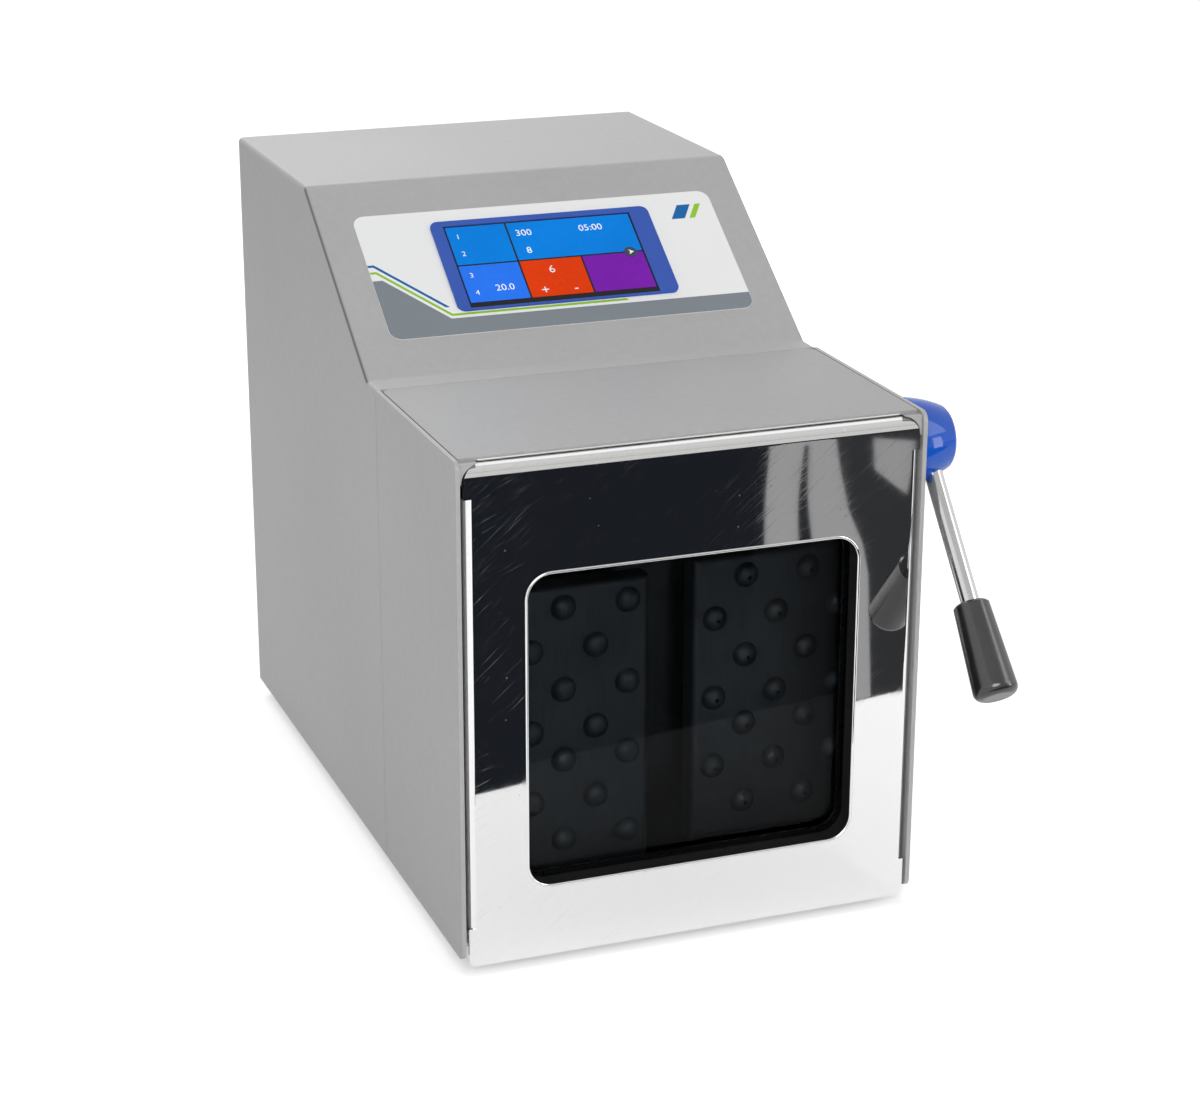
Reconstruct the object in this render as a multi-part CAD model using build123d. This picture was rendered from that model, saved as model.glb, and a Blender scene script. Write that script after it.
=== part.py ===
from build123d import *
import math
import os

# Paddle blender homogenizer for lab bags. Millimetres, +Z up, the door faces -Y.
# Inside this file y = 0 is the side walls' front edge, x = 0 the middle of the housing
# and z = 0 the bench. Each piece is moved to the row's origin when it is written.

# ---- Driving dimensions: housing ----
body_width = 220.0
body_depth = 364.0
foot_height = 8.0
front_height = 232.0  # side walls, from their lower edge
rear_height = 303.0  # rear cover, from the same edge
module_depth = 117.5  # front module, up to the seam on the side
seam_flange = 14.5  # level strip between the seam and the control slope
slope_run = 102.5  # depth of the control slope
wall_sheet = 2.0
cover_sheet = 1.5
seam_gap = 0.4
hood_side_gap = 0.6
hood_front = 5.5
hood_corner = 5.0
hood_flange = 9.0
strip_front_lap = 10.0  # joint strip under the hood
strip_rear_gap = 3.0  # joint strip to the foot of the slope
bend_radius = 2.5
fold_radius = 4.5
base_sheet = 2.0
base_front = 26.0
base_flange = 12.0
rear_frame_width = 12.0
cover_screw_levels = 4
vent_rows = 9
vent_length = 70.0
vent_height = 3.5
vent_pitch = 9.0
vent_below_crown = 38.0  # lower edge of the top vent
vent_centre_x = 43.4
cover_screw_low_gap = 20.0  # above the base plate's flange
cover_screw_top_gap = 8.0
foot_radius = 11.0
foot_taper = 1.5
foot_inset_x = 38.0
foot_inset_front = 50.0
foot_inset_rear = 44.0

# ---- Driving dimensions: door ----
door_sheet = 1.2
door_setback = 0.5
door_side_gap = 1.5
door_drop = 3.5  # how far the door hangs below the side walls
door_top_gap = 0.5
door_top_bend = 6.0
door_side_bend = 3.5
door_top_flange = 18.0  # depth of the top flange behind the walls' front edge
door_pan_low = 15.0  # lower end of the folded sides, above the walls' lower edge
door_pan_high = 215.0
door_ear_radius = 8.5
door_foot_radius = 3.0
lip_width = 8.0
window_width = 158.0
window_low = 30.0
window_top_gap = 53.5  # below the walls' upper edge
window_radius = 11.5
window_recess = 10.5
pane_sheet = 3.5
pane_lap = 4.0
liner_sheet = 1.5
liner_lap = 1.5
liner_top_gap = 6.1  # between the door liner and the clamp strip
liner_corner = 3.0
liner_screw_low_gap = 7.5  # from the liner's lower edge to the lowest screw
liner_screw_top_gap = 6.0
liner_screw_length = 4.0
liner_screw_head_radius = 2.5
liner_screw_head = 1.4
hinge_back = 8.5  # door pivot behind the door's face
hinge_up = 9.0  # door pivot above the walls' lower edge
hinge_pin_radius = 4.0
hinge_collar_radius = 5.5
hinge_ear_radius = 7.0
hinge_ear_width = 4.4
hinge_ear_rise = 12.0  # above the pivot
hinge_ear_back = 4.0  # behind the pivot
hinge_end_gap = 0.5

# ---- Driving dimensions: latch and lever ----
latch_y = 25.8
latch_drop = 20.9  # below the walls' upper edge
latch_radius = 6.0
latch_flat = 8.0
catch_lip_gap = 1.3  # between a catch plate and the door's folded lip
catch_sheet = 6.0
catch_wall = 4.0  # of a catch plate above and below the shaft
catch_reach = 3.0  # of a catch plate behind the shaft
latch_bush_wall = 4.0
latch_bush_length = 7.0
latch_bush_end = 3.0
latch_end_gap = 0.5
wall_bush_wall = 3.0
wall_bush_lip = 1.5
wall_bush_length = 6.0
hub_length = 20.0
hub_radius = 20.0
hub_end_radius = 15.0
hub_gap = 1.0
lever_offset = 0.4  # outward of the hub's middle
lever_lean = 40.0  # degrees the lever leans forward from straight down
lever_radius = 4.25
grip_start = 81.0
grip_length = 44.5
grip_radius_top = 8.3
grip_radius_end = 10.25
grip_nose = 4.0
grip_chamfer = 1.0
clamp_radius = 9.0
clamp_lobe = 12.8
clamp_nose = 4.0
clamp_end_gap = 5.0
strip_half_height = 7.0
hub_chamfer = 1.0
hub_swell = 0.8
hub_screw_length = 12.0
hub_screw_head = 2.0
hub_screw_head_radius = 8.0
hub_screw_spare = 2.0  # depth of the shaft's hole past the screw

# ---- Driving dimensions: chamber and paddles ----
chamber_sheet = 1.5
chamber_side_gap = 10.0  # between the chamber liner and a side wall
chamber_front_gap = 0.5
chamber_depth = 37.0
chamber_low = 16.0
chamber_top_gap = 6.1  # between the chamber liner and the catch plates
paddle_side_gap = 1.5
paddle_gap = 26.0
paddle_low = 24.0
paddle_top_gap = 69.0  # below the walls' upper edge
paddle_depth = 11.0
paddle_sheet = 3.0
paddle_rim = 2.5
paddle_edge = 3.0
paddle_front_gap = 7.0  # from the door liner to the forward paddle's face
boss_wall = 5.0
stroke = 12.0
dome_radius = 6.0
dome_height = 4.5
dome_side_margin = 10.5
dome_top_margin = 10.0
dome_low_margin = 17.5
dome_middle_pitch = 14.5
dome_hole_radius = 1.0
dome_hole_depth = 4.0

# ---- Driving dimensions: drive ----
rod_radius = 6.0
bearing_plate_gap = 2.5
bearing_plate_sheet = 10.0
seal_wall = 2.0
seal_lip = 2.5
yoke_front_gap = 10.0  # from the rod bearings to the yokes' foremost place
bush_length = 30.0
bush_radius = 10.5
bush_flange_radius = 14.0
bush_flange_sheet = 4.0
shaft_radius = 6.0
eccentric_radius = 13.5
eccentric_width = 13.0
roller_radius = 19.5
roller_width = 12.0
yoke_width = 16.0
yoke_wall = 7.0
yoke_end = 4.0
yoke_web = 1.5  # between the slot and each push rod
slot_end_gap = 1.0
yoke_corner = 5.0
yoke_play = 1.5
rod_bite = 2.0
drive_plate_gap = 18.0  # to a side wall
drive_plate_sheet = 8.0
drive_plate_length = 48.0
drive_plate_head = 10.0  # above the bearing
plate_corner = 12.0
drive_screw_pitch = 32.0
plate_screw_edge = 18.0
screw_bite = 14.0
ball_bearing_radius = 14.0
pulley_x = 24.0
pulley_width = 12.0
pulley_radius = 36.0
motor_pulley_radius = 18.0
pulley_flange = 1.0
pulley_flange_lip = 2.5
belt_sheet = 1.8
belt_run = 115.0  # from the drive shaft back to the motor shaft
motor_foot_gap = 7.0
motor_radius = 45.0
motor_length = 98.0
motor_cap = 14.0
motor_step = 2.0
motor_spigot_radius = 11.0
motor_shaft_radius = 5.0
motor_shaft_end = 4.0
motor_bracket_gap = 8.0
motor_screw_reach = 33.0
motor_screw_length = 10.0
bracket_sheet = 4.0
bracket_half_width = 52.0
bracket_foot = 60.0
bracket_screw_inset = 12.0
bracket_screw_edge = 8.0

# ---- Driving dimensions: controls and electrics ----
overlay_margin = 18.0
overlay_low = 23.0
overlay_high = 101.5
overlay_sheet = 0.4
overlay_radius = 6.0
bezel_x = (-55.5, 57.0)
bezel_low = 36.5
bezel_high = 93.5
bezel_sheet = 1.0
bezel_radius = 4.0
screen_x = (-49.0, 46.5)
screen_low = 38.0
screen_high = 89.8
screen_depth = 8.0
screen_sink = 0.3
board_sheet = 1.6
display_margin = 8.0
connector_place = (20.0, 8.0)  # from the display board's lower left corner
connector_size = (26.0, 14.0, 4.0)
display_post_radius = 2.2
inlet_edge = 48.0  # from the housing's right side
inlet_up = 38.0
inlet_width = 24.0
inlet_height = 16.5
inlet_wall = 1.5
inlet_depth = 18.0  # behind the back panel's face
inlet_flange_width = 50.0
inlet_flange_height = 24.0
inlet_flange_sheet = 3.0
inlet_cavity = 15.0
inlet_blades = ((-7.0, -1.5), (0.0, 2.5), (7.0, -1.5))
inlet_blade_size = (2.0, 4.0)
inlet_blade_set = 6.5  # blades end this far inside the mouth
inlet_screw_pitch = 40.0
inlet_screw_length = 9.0
socket_corner = 2.5
switch_pitch = 48.0  # from the inlet
switch_width = 19.0
switch_height = 27.0
switch_wall = 2.0
switch_lip = 1.5
switch_lip_sheet = 2.0
switch_depth = 18.0
rocker_tilt = 10.0
rocker_gap = 0.3
rocker_inset = 3.0  # axle inside the back panel's face
rocker_end_gap = 1.5
rocker_root_depth = 5.0
rocker_root_share = 0.6  # of the key's half height, at its root
rocker_crest = 4.8  # of the key's ends in front of its axle
rocker_round = 0.7
rocker_dish = 3.2  # of the key's middle in front of its axle
supply_size = (62.0, 100.0, 34.0)
supply_rear_gap = 60.0
supply_wall_gap = 8.0
supply_slots = 10
supply_slot_pitch = 8.0
supply_slot_edge = 8.0
supply_slot_width = 3.0
supply_slot_depth = 1.5
board_width = 100.0
board_height = 80.0
board_edge = 13.5
board_low = 120.0
board_post_inset = 5.0
standoff_length = 14.9
standoff_radius = 3.0
# Chips and cans on the board, from its lower left corner: across, up, width, height, rise.
board_chips = (
    (15, 22, 14, 10, 3),
    (45, 22, 24, 24, 4),
    (80, 22, 14, 26, 12),
    (15, 57, 18, 14, 14),
    (45, 62, 24, 8, 9),
)
board_cans = ((71, 60), (87, 60))
can_radius = 6.0
can_length = 20.0

# ---- Fits and clearances ----
running_fit = 0.06
loose_fit = 0.3
slot_fit = 0.15
cutout_fit = 0.25
rim_gap = 0.2
frame_gap = 2.0
screw_radius = 2.5
small_screw_radius = 1.5
screw_head_ratio = 1.8
small_head_ratio = 2.0
screw_head = 3.0
small_head = 2.0
nut_height = 3.0
nut_wall = 2.0
thread_spare = 1.0  # of a screw past its nut

# ---- Levels and places worked out from the above ----
floor = foot_height
deck = floor + front_height
crown = floor + rear_height
half = body_width / 2
wall_in = half - wall_sheet
cover_in = half - cover_sheet
slope_foot = module_depth + seam_flange
slope_head = slope_foot + slope_run
slope_angle = math.degrees(math.atan2(rear_height - front_height, slope_run))
door_face = door_setback
door_back = door_face + door_sheet
door_half = wall_in - door_side_gap
door_low = floor - door_drop
door_top = deck - cover_sheet - door_top_gap
pivot = (door_face + hinge_back, floor + hinge_up)
window_z = (floor + window_low, deck - window_top_gap)
pane_front = door_face + window_recess
pane_back = pane_front + pane_sheet
liner_back = pane_back + liner_sheet
latch = (latch_y, deck - latch_drop)
lip_edge = door_half - door_sheet - lip_width
catch_span = (lip_edge - catch_lip_gap - catch_sheet, lip_edge - catch_lip_gap)
catch_height = latch_radius + catch_wall
clamp_half_length = catch_span[0] - clamp_end_gap
liner_z = (pivot[1] + hinge_ear_rise + hinge_end_gap, latch[1] - strip_half_height - liner_top_gap)
chamber_half_width = wall_in - chamber_side_gap
chamber_z = (floor + chamber_low, latch[1] - catch_height - chamber_top_gap)
chamber_front = liner_back + chamber_front_gap
chamber_back = chamber_front + chamber_depth
ear_span = (chamber_half_width + hinge_end_gap, chamber_half_width + hinge_end_gap + hinge_ear_width)
left_face_y = liner_back + paddle_front_gap
right_face_y = left_face_y + stroke
paddle_width = chamber_half_width - chamber_sheet - paddle_side_gap - paddle_gap / 2
paddle_x = paddle_gap / 2 + paddle_width / 2
paddle_z = (floor + paddle_low, deck - paddle_top_gap)
plate_front = chamber_back + bearing_plate_gap
plate_back = plate_front + bearing_plate_sheet
slot_half = roller_radius + yoke_play
slot_rise = roller_radius + stroke / 2 + slot_end_gap
rod_spread = slot_rise + yoke_web + rod_radius
yoke_front_min = plate_front + bush_length + yoke_front_gap
drive = (yoke_front_min + yoke_wall + slot_half + stroke / 2, (paddle_z[0] + paddle_z[1]) / 2)
motor_axis = (drive[0] + belt_run, floor + base_sheet + bracket_sheet + motor_foot_gap + motor_radius)
rod_levels = (drive[1] - rod_spread, drive[1] + rod_spread)
drive_plate_span = (wall_in - drive_plate_gap - drive_plate_sheet, wall_in - drive_plate_gap)
pulley_span = (pulley_x - pulley_width / 2, pulley_x + pulley_width / 2)
motor_face_x = pulley_span[0] - pulley_flange - motor_bracket_gap
motor_front_x = motor_face_x - bracket_sheet
hub_start = half + hub_gap
hub_end = hub_start + hub_length
lever_x = hub_start + hub_length / 2 + lever_offset
rod_start = latch_radius + 2
base_top = floor + base_sheet
panel_front = body_depth - cover_sheet
inlet = (half - inlet_edge, floor + inlet_up)
inlet_mouth = body_depth + inlet_flange_sheet
inlet_body_size = (inlet_width + 2 * inlet_wall, inlet_height + 2 * inlet_wall)
switch = (inlet[0] - switch_pitch, inlet[1])
rocker_axle = (body_depth - rocker_inset, switch[1])
board_y = panel_front - standoff_length - board_sheet
board_z = (floor + board_low, floor + board_low + board_height)
board_left = board_edge - cover_in
supply_y = (panel_front - supply_rear_gap - supply_size[1], panel_front - supply_rear_gap)
screen_hole = (
    (screen_x[0] - loose_fit, screen_x[1] + loose_fit),
    (screen_low - loose_fit, screen_high + loose_fit),
)
screen_front = overlay_sheet + bezel_sheet - screen_sink
slope = Plane(
    origin=(0, slope_foot, deck),
    x_dir=(1, 0, 0),
    z_dir=(0, -math.sin(math.radians(slope_angle)), math.cos(math.radians(slope_angle))),
)
lever_axis = Plane(
    origin=(lever_x, latch[0], latch[1]),
    x_dir=(1, 0, 0),
    z_dir=(0, -math.sin(math.radians(lever_lean)), -math.cos(math.radians(lever_lean))),
)

TURNS = {"x": (0, 90, 0), "y": (90, 0, 0), "z": (0, 0, 0)}


def along(axis, value, across):
    """The point with a value along one axis and two coordinates, in x, y, z order, on the others."""
    point = list(across)
    point.insert("xyz".index(axis), value)
    return tuple(point)


def block(x, y, z):
    """A box between a low and a high value on each axis."""
    spans = (x, y, z)
    middle = [(low + high) / 2 for low, high in spans]
    return Pos(*middle) * Box(*[high - low for low, high in spans])


def bar(axis, across, radius, low, high):
    """A round bar along an axis, between two values on it."""
    return Pos(*along(axis, (low + high) / 2, across)) * Rot(*TURNS[axis]) * Cylinder(radius, high - low)


def ring(axis, across, outer, inner, low, high):
    return bar(axis, across, outer, low, high) - bar(axis, across, inner, low, high)


def outline_face(axis, outline, value):
    points = [along(axis, value, pair) for pair in outline]
    return make_face(Polyline(*points, close=True))


def prism(axis, outline, low, high):
    """An outline in the two other axes, pushed along an axis."""
    return extrude(outline_face(axis, outline, low), amount=high - low, dir=along(axis, 1, (0, 0)))


def panel(x, y, z, radius):
    """A plate facing the front, with its four corners rounded."""
    return fillet(block(x, y, z).edges().filter_by(Axis.Y), radius)


def mirrored(piece):
    """The piece and its mirror image on the other side of the housing."""
    return piece + mirror(piece, about=Plane.YZ)


def group(pieces):
    """Separate solids kept under one name."""
    return Compound(children=[solid for piece in pieces for solid in piece.solids()])


def both_sides(piece):
    """The piece and its mirror image as two solids."""
    return group([piece, mirror(piece, about=Plane.YZ)])


# ---- Housing ----


def base_plate():
    plate = block((-wall_in, wall_in), (base_front, panel_front), (floor, base_top))
    side = block((wall_in - base_sheet, wall_in), (base_front, panel_front), (floor, base_top + base_flange))
    rise = (floor, base_top + base_flange)
    front = block((-chamber_half_width, chamber_half_width), (base_front, base_front + base_sheet), rise)
    rear_half = wall_in - 2 * base_flange
    rear = block((-rear_half, rear_half), (panel_front - base_sheet, panel_front), rise)
    plate += mirrored(side) + front + rear
    for x, y in foot_places() + frame_screw_places():
        plate -= bar("z", (x, y), screw_radius + loose_fit, floor - 1, base_top + 1)
    return plate


def foot_places():
    x = half - foot_inset_x
    return [(side * x, y) for side in (-1, 1) for y in (foot_inset_front, body_depth - foot_inset_rear)]


def feet():
    pieces = []
    for x, y in foot_places():
        foot = Pos(x, y, foot_height / 2) * Cone(foot_radius - foot_taper, foot_radius, foot_height)
        foot -= bar("z", (x, y), foot_radius / 2, -1, foot_height / 2)
        foot -= bar("z", (x, y), screw_radius, 0, foot_height + 1)
        pieces.append(foot)
    return group(pieces)


def foot_screws():
    pieces = []
    for x, y in foot_places():
        seat = foot_height / 2
        screw = bar("z", (x, y), screw_head_ratio * screw_radius, seat - small_head, seat)
        screw += bar("z", (x, y), screw_radius, seat, base_top + nut_height + thread_spare)
        screw += ring("z", (x, y), screw_radius + nut_wall, screw_radius, base_top, base_top + nut_height)
        pieces.append(screw)
    return group(pieces)


def side_wall(side, hole_radius):
    wall = block((wall_in, half), (0, module_depth), (floor, deck))
    front_edges = wall.edges().filter_by(Axis.X).group_by(Axis.Y)[0]
    wall = fillet(front_edges, fold_radius)
    if side < 0:
        wall = mirror(wall, about=Plane.YZ)
    if hole_radius:
        wall -= bar("x", latch, hole_radius, wall_in - 1, half + 1)
    return wall


def hood_panel():
    """The top of the front module, folded down at its sides."""
    edge = wall_in - hood_side_gap
    top = block((-edge, edge), (hood_front, module_depth), (deck - cover_sheet, deck))
    rear_corners = top.edges().filter_by(Axis.Z).group_by(Axis.Y)[-1]
    top = fillet(rear_corners, hood_corner)
    flange = block(
        (edge - cover_sheet, edge),
        (door_top_flange + hood_corner, module_depth - 2 * hood_corner),
        (deck - hood_flange, deck - cover_sheet),
    )
    return top + mirrored(flange)


def joint_strip():
    """Lies under the seam between hood and rear cover and carries both."""
    reach = wall_in - 2 * hood_corner
    return block(
        (-reach, reach),
        (module_depth - strip_front_lap, slope_foot - strip_rear_gap),
        (deck - 2 * cover_sheet, deck - cover_sheet),
    )


def cover_outline(inset, front, rear, low):
    """The rear cover's side view, with its top edges moved inward by inset."""
    lean = inset * math.tan(math.radians(slope_angle) / 2)
    return [
        (front, low),
        (front, deck - inset),
        (slope_foot + lean, deck - inset),
        (slope_head + lean, crown - inset),
        (rear, crown - inset),
        (rear, low),
    ]


def cover_body(inset, front, rear, low):
    """A solid of the rear cover's outer or inner form."""
    side = half - inset
    face = outline_face("x", cover_outline(inset, front, rear, low), -side)
    bends = face.vertices().sort_by(Axis.Y)
    knees = [v for v in bends if front + 1 < v.Y < rear - 1]
    foot_knee, head_knee = knees
    face = fillet(foot_knee, fold_radius + inset)
    head_knee = face.vertices().sort_by_distance(Vector(-side, head_knee.Y, head_knee.Z))[0]
    face = fillet(head_knee, fold_radius - inset)
    body = extrude(face, amount=2 * side, dir=(1, 0, 0))
    side_edges = []
    for edge in body.edges():
        middle = edge @ 0.5
        top_edge = middle.Z > deck - inset - 0.1
        on_side = abs(abs(middle.X) - side) < 0.01
        if on_side and top_edge and front + 0.1 < middle.Y < rear - 0.1:
            side_edges.append(edge)
    return fillet(side_edges, bend_radius - inset)


def rear_cover():
    """Folded cover with sides, top, control slope and a short level flange at the seam."""
    front = module_depth + seam_gap
    shell = cover_body(0, front, body_depth, floor)
    shell -= cover_body(cover_sheet, front - 5, body_depth + 5, floor - 5)
    lip = rear_frame_width
    frame_low = base_top + base_flange + frame_gap
    frame_y = (panel_front - cover_sheet, panel_front)
    frame = block((-cover_in, cover_in), frame_y, (frame_low, crown - cover_sheet))
    hole = block(
        (-cover_in + lip, cover_in - lip),
        (panel_front - cover_sheet - 1, panel_front + 1),
        (floor, crown - cover_sheet - lip),
    )
    frame = (frame - hole) & cover_body(cover_sheet, front, body_depth, floor)
    shell += frame
    shell -= slope * block(*screen_hole, (-5, 5))
    for x, z in cover_screw_places():
        shell -= bar("y", (x, z), small_screw_radius, panel_front - 5, panel_front + 1)
    return shell


def cover_screw_places():
    x = cover_in - rear_frame_width / 2
    low = base_top + base_flange + cover_screw_low_gap
    high = crown - rear_frame_width - cover_screw_top_gap
    pitch = (high - low) / (cover_screw_levels - 1)
    return [(side * x, low + pitch * level) for side in (-1, 1) for level in range(cover_screw_levels)]


def cover_screws():
    pieces = []
    for x, z in cover_screw_places():
        screw = bar("y", (x, z), small_screw_radius, panel_front - 4, body_depth)
        screw += bar("y", (x, z), small_head_ratio * small_screw_radius, body_depth, body_depth + small_head)
        pieces.append(screw)
    return group(pieces)


def back_panel():
    """Rear panel with two columns of vents and the cut-outs for inlet and switch."""
    edge = cover_in - rim_gap
    through = (panel_front - 1, body_depth + 1)
    plate = block((-edge, edge), (panel_front, body_depth), (floor, crown - cover_sheet - rim_gap))
    plate = fillet(plate.edges().filter_by(Axis.Y).group_by(Axis.Z)[-1], bend_radius)
    for row in range(vent_rows):
        z = crown - vent_below_crown - row * vent_pitch
        slot = block((-vent_length / 2, vent_length / 2), through, (z, z + vent_height))
        for side in (-1, 1):
            plate -= Pos(side * vent_centre_x, 0, 0) * slot
    plate -= socket_body(inlet, inlet_body_size, cutout_fit, *through)
    plate -= socket_body(switch, (switch_width, switch_height), cutout_fit, *through)
    for place in cover_screw_places() + inlet_screw_places():
        plate -= bar("y", place, small_screw_radius, *through)
    return plate


# ---- Door ----


def window_cut(grow, y_low, y_high, radius):
    x = window_width / 2 + grow
    return panel((-x, x), (y_low, y_high), (window_z[0] - grow, window_z[1] + grow), radius)


def door_panel():
    """Polished pan: flat front, folded sides and a top edge that rolls back, round at its corners."""
    width = (-door_half, door_half)
    bend_centre = (door_face + door_top_bend, door_top - door_top_bend)
    front = block(width, (door_face, door_back), (door_low, bend_centre[1]))
    front = fillet(front.edges().filter_by(Axis.Y).group_by(Axis.Z)[0], door_foot_radius)

    pan_z = (floor + door_pan_low, floor + door_pan_high)
    trim = block((door_half - door_side_bend, half), (-1, door_back + 1), pan_z)
    front -= mirrored(trim)
    outer = block((-door_half, door_half), (door_face, pane_back), pan_z)
    outer = fillet(outer.edges().filter_by(Axis.Z).group_by(Axis.Y)[0], door_side_bend)
    inner_half = door_half - door_sheet
    inner = block((-inner_half, inner_half), (door_back, pane_back + 1), (pan_z[0] - 1, pan_z[1] + 1))
    inner = fillet(inner.edges().filter_by(Axis.Z).group_by(Axis.Y)[0], door_side_bend - door_sheet)
    pan = outer - inner
    lip = block(
        (lip_edge, inner_half),
        (pane_back - door_sheet, pane_back),
        (pivot[1] + hinge_ear_rise + 2, pan_z[1]),
    )
    roll = ring("x", bend_centre, door_top_bend, door_top_bend - door_sheet, *width)
    roll &= block(width, (door_face - 1, bend_centre[0]), (bend_centre[1], door_top + 1))
    flange = block(width, (bend_centre[0], door_top_flange), (door_top - door_sheet, door_top))
    trim = block(width, (door_face - 1, door_top_flange + 1), (bend_centre[1] - door_ear_radius, door_top))
    trim = fillet(trim.edges().filter_by(Axis.Y).group_by(Axis.Z)[-1], door_ear_radius)
    rounded = block(width, (door_face - 1, door_top_flange + 1), (door_low - 1, trim.bounding_box().min.Z))
    door = (front + roll + flange) & (trim + rounded)
    door += pan + mirrored(lip)
    for x, z in liner_screw_places():
        door -= bar("y", (x, z), small_screw_radius, pane_back - 3, pane_back + 1)
    return door - window_cut(0, -5, door_back + 1, window_radius)


def window_gasket():
    """Black rubber well between the door's front and the pane."""
    outer = window_cut(pane_lap, door_back, pane_front, window_radius + pane_lap)
    return outer - window_cut(0, door_back - 1, pane_front + 1, window_radius)


def door_window():
    return window_cut(pane_lap, pane_front, pane_back, window_radius + pane_lap)


def liner_screw_places():
    x = door_half - door_sheet - lip_width / 2
    low, high = liner_z[0] + liner_screw_low_gap, liner_z[1] - liner_screw_top_gap
    return [(side * x, z) for side in (-1, 1) for z in (low, (low + high) / 2, high)]


def door_liner():
    x = door_half - door_sheet - loose_fit
    liner = panel((-x, x), (pane_back, liner_back), liner_z, liner_corner)
    liner -= window_cut(-liner_lap, pane_back - 1, liner_back + 1, window_radius - liner_lap)
    for px, pz in liner_screw_places():
        liner -= bar("y", (px, pz), small_screw_radius, pane_back - 1, liner_back + 1)
    return liner


def liner_screws():
    pieces = []
    for x, z in liner_screw_places():
        screw = bar("y", (x, z), small_screw_radius, liner_back - liner_screw_length, liner_back)
        screw += bar("y", (x, z), liner_screw_head_radius, liner_back, liner_back + liner_screw_head)
        pieces.append(screw)
    return group(pieces)


def hinge_brackets():
    """Ears on the door's lower inner face that turn on the hinge pins."""
    y, z = pivot
    ear = block(ear_span, (door_back, y + hinge_ear_back), (z - hinge_ear_radius - 1, z + hinge_ear_rise))
    ear += bar("x", pivot, hinge_ear_radius, *ear_span)
    ear -= bar("x", pivot, hinge_pin_radius + running_fit, ear_span[0] - 1, ear_span[1] + 1)
    return both_sides(ear)


def hinge_pins():
    """Pins on the side walls, each with a collar that keeps the door in the middle."""
    pin = bar("x", pivot, hinge_pin_radius, ear_span[0], wall_in)
    pin += bar("x", pivot, hinge_collar_radius, ear_span[1] + hinge_end_gap, wall_in)
    return both_sides(pin)


def catch_path(half_width, span):
    """The way that the latch shaft takes through a catch plate as the door drops: a ring round the pivot."""
    radius = math.dist(pivot, latch)
    return ring("x", pivot, radius + half_width, radius - half_width, *span)


def catch_plates():
    """Plates on the door's inner face whose slots, open at the back, take the latch shaft."""
    y, z = latch
    reach = y + latch_radius + catch_reach
    cut = (catch_span[0] - 1, catch_span[1] + 1)
    plate = block(catch_span, (door_back, reach), (z - catch_height, z + catch_height))
    plate = fillet(plate.edges().filter_by(Axis.X).group_by(Axis.Y)[-1], catch_wall / 2)
    plate -= bar("x", latch, latch_radius + running_fit, *cut)
    mouth = catch_path(latch_flat / 2 + slot_fit, cut)
    plate -= mouth & block(cut, (y, reach + 1), (z - catch_height, z + catch_height))
    return both_sides(plate)


def clamp_strip():
    """Rubber rail on the door that the bag's neck is pinched against."""
    y, z = latch
    back = y - clamp_lobe - loose_fit
    span = (-clamp_half_length, clamp_half_length)
    strip = block(span, (door_back, back), (z - strip_half_height, z + strip_half_height))
    return fillet(strip.edges().filter_by(Axis.X).group_by(Axis.Y)[-1], 2)


# ---- Latch and lever ----


def latch_shaft():
    """Round bar with two flats at each catch plate; at rest the flats let the door pass."""
    y, z = latch
    around = latch_radius + 1
    lean = math.degrees(math.atan2(latch[0] - pivot[0], latch[1] - pivot[1]))
    shaft = bar("x", latch, latch_radius, -wall_in + latch_bush_end + latch_end_gap, hub_end)
    for side in (-1, 1):
        x = sorted((side * (catch_span[0] - 1), side * (catch_span[1] + 1)))
        spare = block(x, (y - around, y + around), (z + latch_flat / 2, z + around))
        spare += block(x, (y - around, y + around), (z - around, z - latch_flat / 2))
        shaft -= spare.rotate(Axis((0, y, z), (1, 0, 0)), -lean)
    return shaft - bar("x", latch, screw_radius, hub_end - hub_screw_length - hub_screw_spare, hub_end + 1)


def shaft_bushes():
    """A blind bush on the left wall, and a lipped one through the right wall."""
    bore = latch_radius + running_fit
    left = bar("x", latch, latch_radius + latch_bush_wall, -wall_in, -wall_in + latch_bush_length)
    left -= bar("x", latch, bore, -wall_in + latch_bush_end, -wall_in + latch_bush_length + 1)
    outer = latch_radius + wall_bush_wall
    right = ring("x", latch, outer, bore, wall_in - wall_bush_length, hub_start - loose_fit)
    right += ring("x", latch, outer + wall_bush_lip, bore, wall_in - wall_bush_length, wall_in)
    return group([left, right])


def clamp_bar():
    """Rubber bar on the shaft with a lobe, pointing up at rest, that turns down on the bag's neck."""
    y, z = latch
    span = (-clamp_half_length, clamp_half_length)
    top = clamp_lobe - clamp_nose
    sleeve = bar("x", latch, clamp_radius, *span) + bar("x", (y, z + top), clamp_nose, *span)
    lean = math.acos((clamp_radius - clamp_nose) / top)
    wide, high = math.sin(lean), math.cos(lean)
    flank = [
        (y - clamp_radius * wide, z + clamp_radius * high),
        (y - clamp_nose * wide, z + top + clamp_nose * high),
        (y + clamp_nose * wide, z + top + clamp_nose * high),
        (y + clamp_radius * wide, z + clamp_radius * high),
    ]
    sleeve += prism("x", flank, *span)
    return sleeve - bar("x", latch, latch_radius, span[0] - 1, span[1] + 1)


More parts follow.
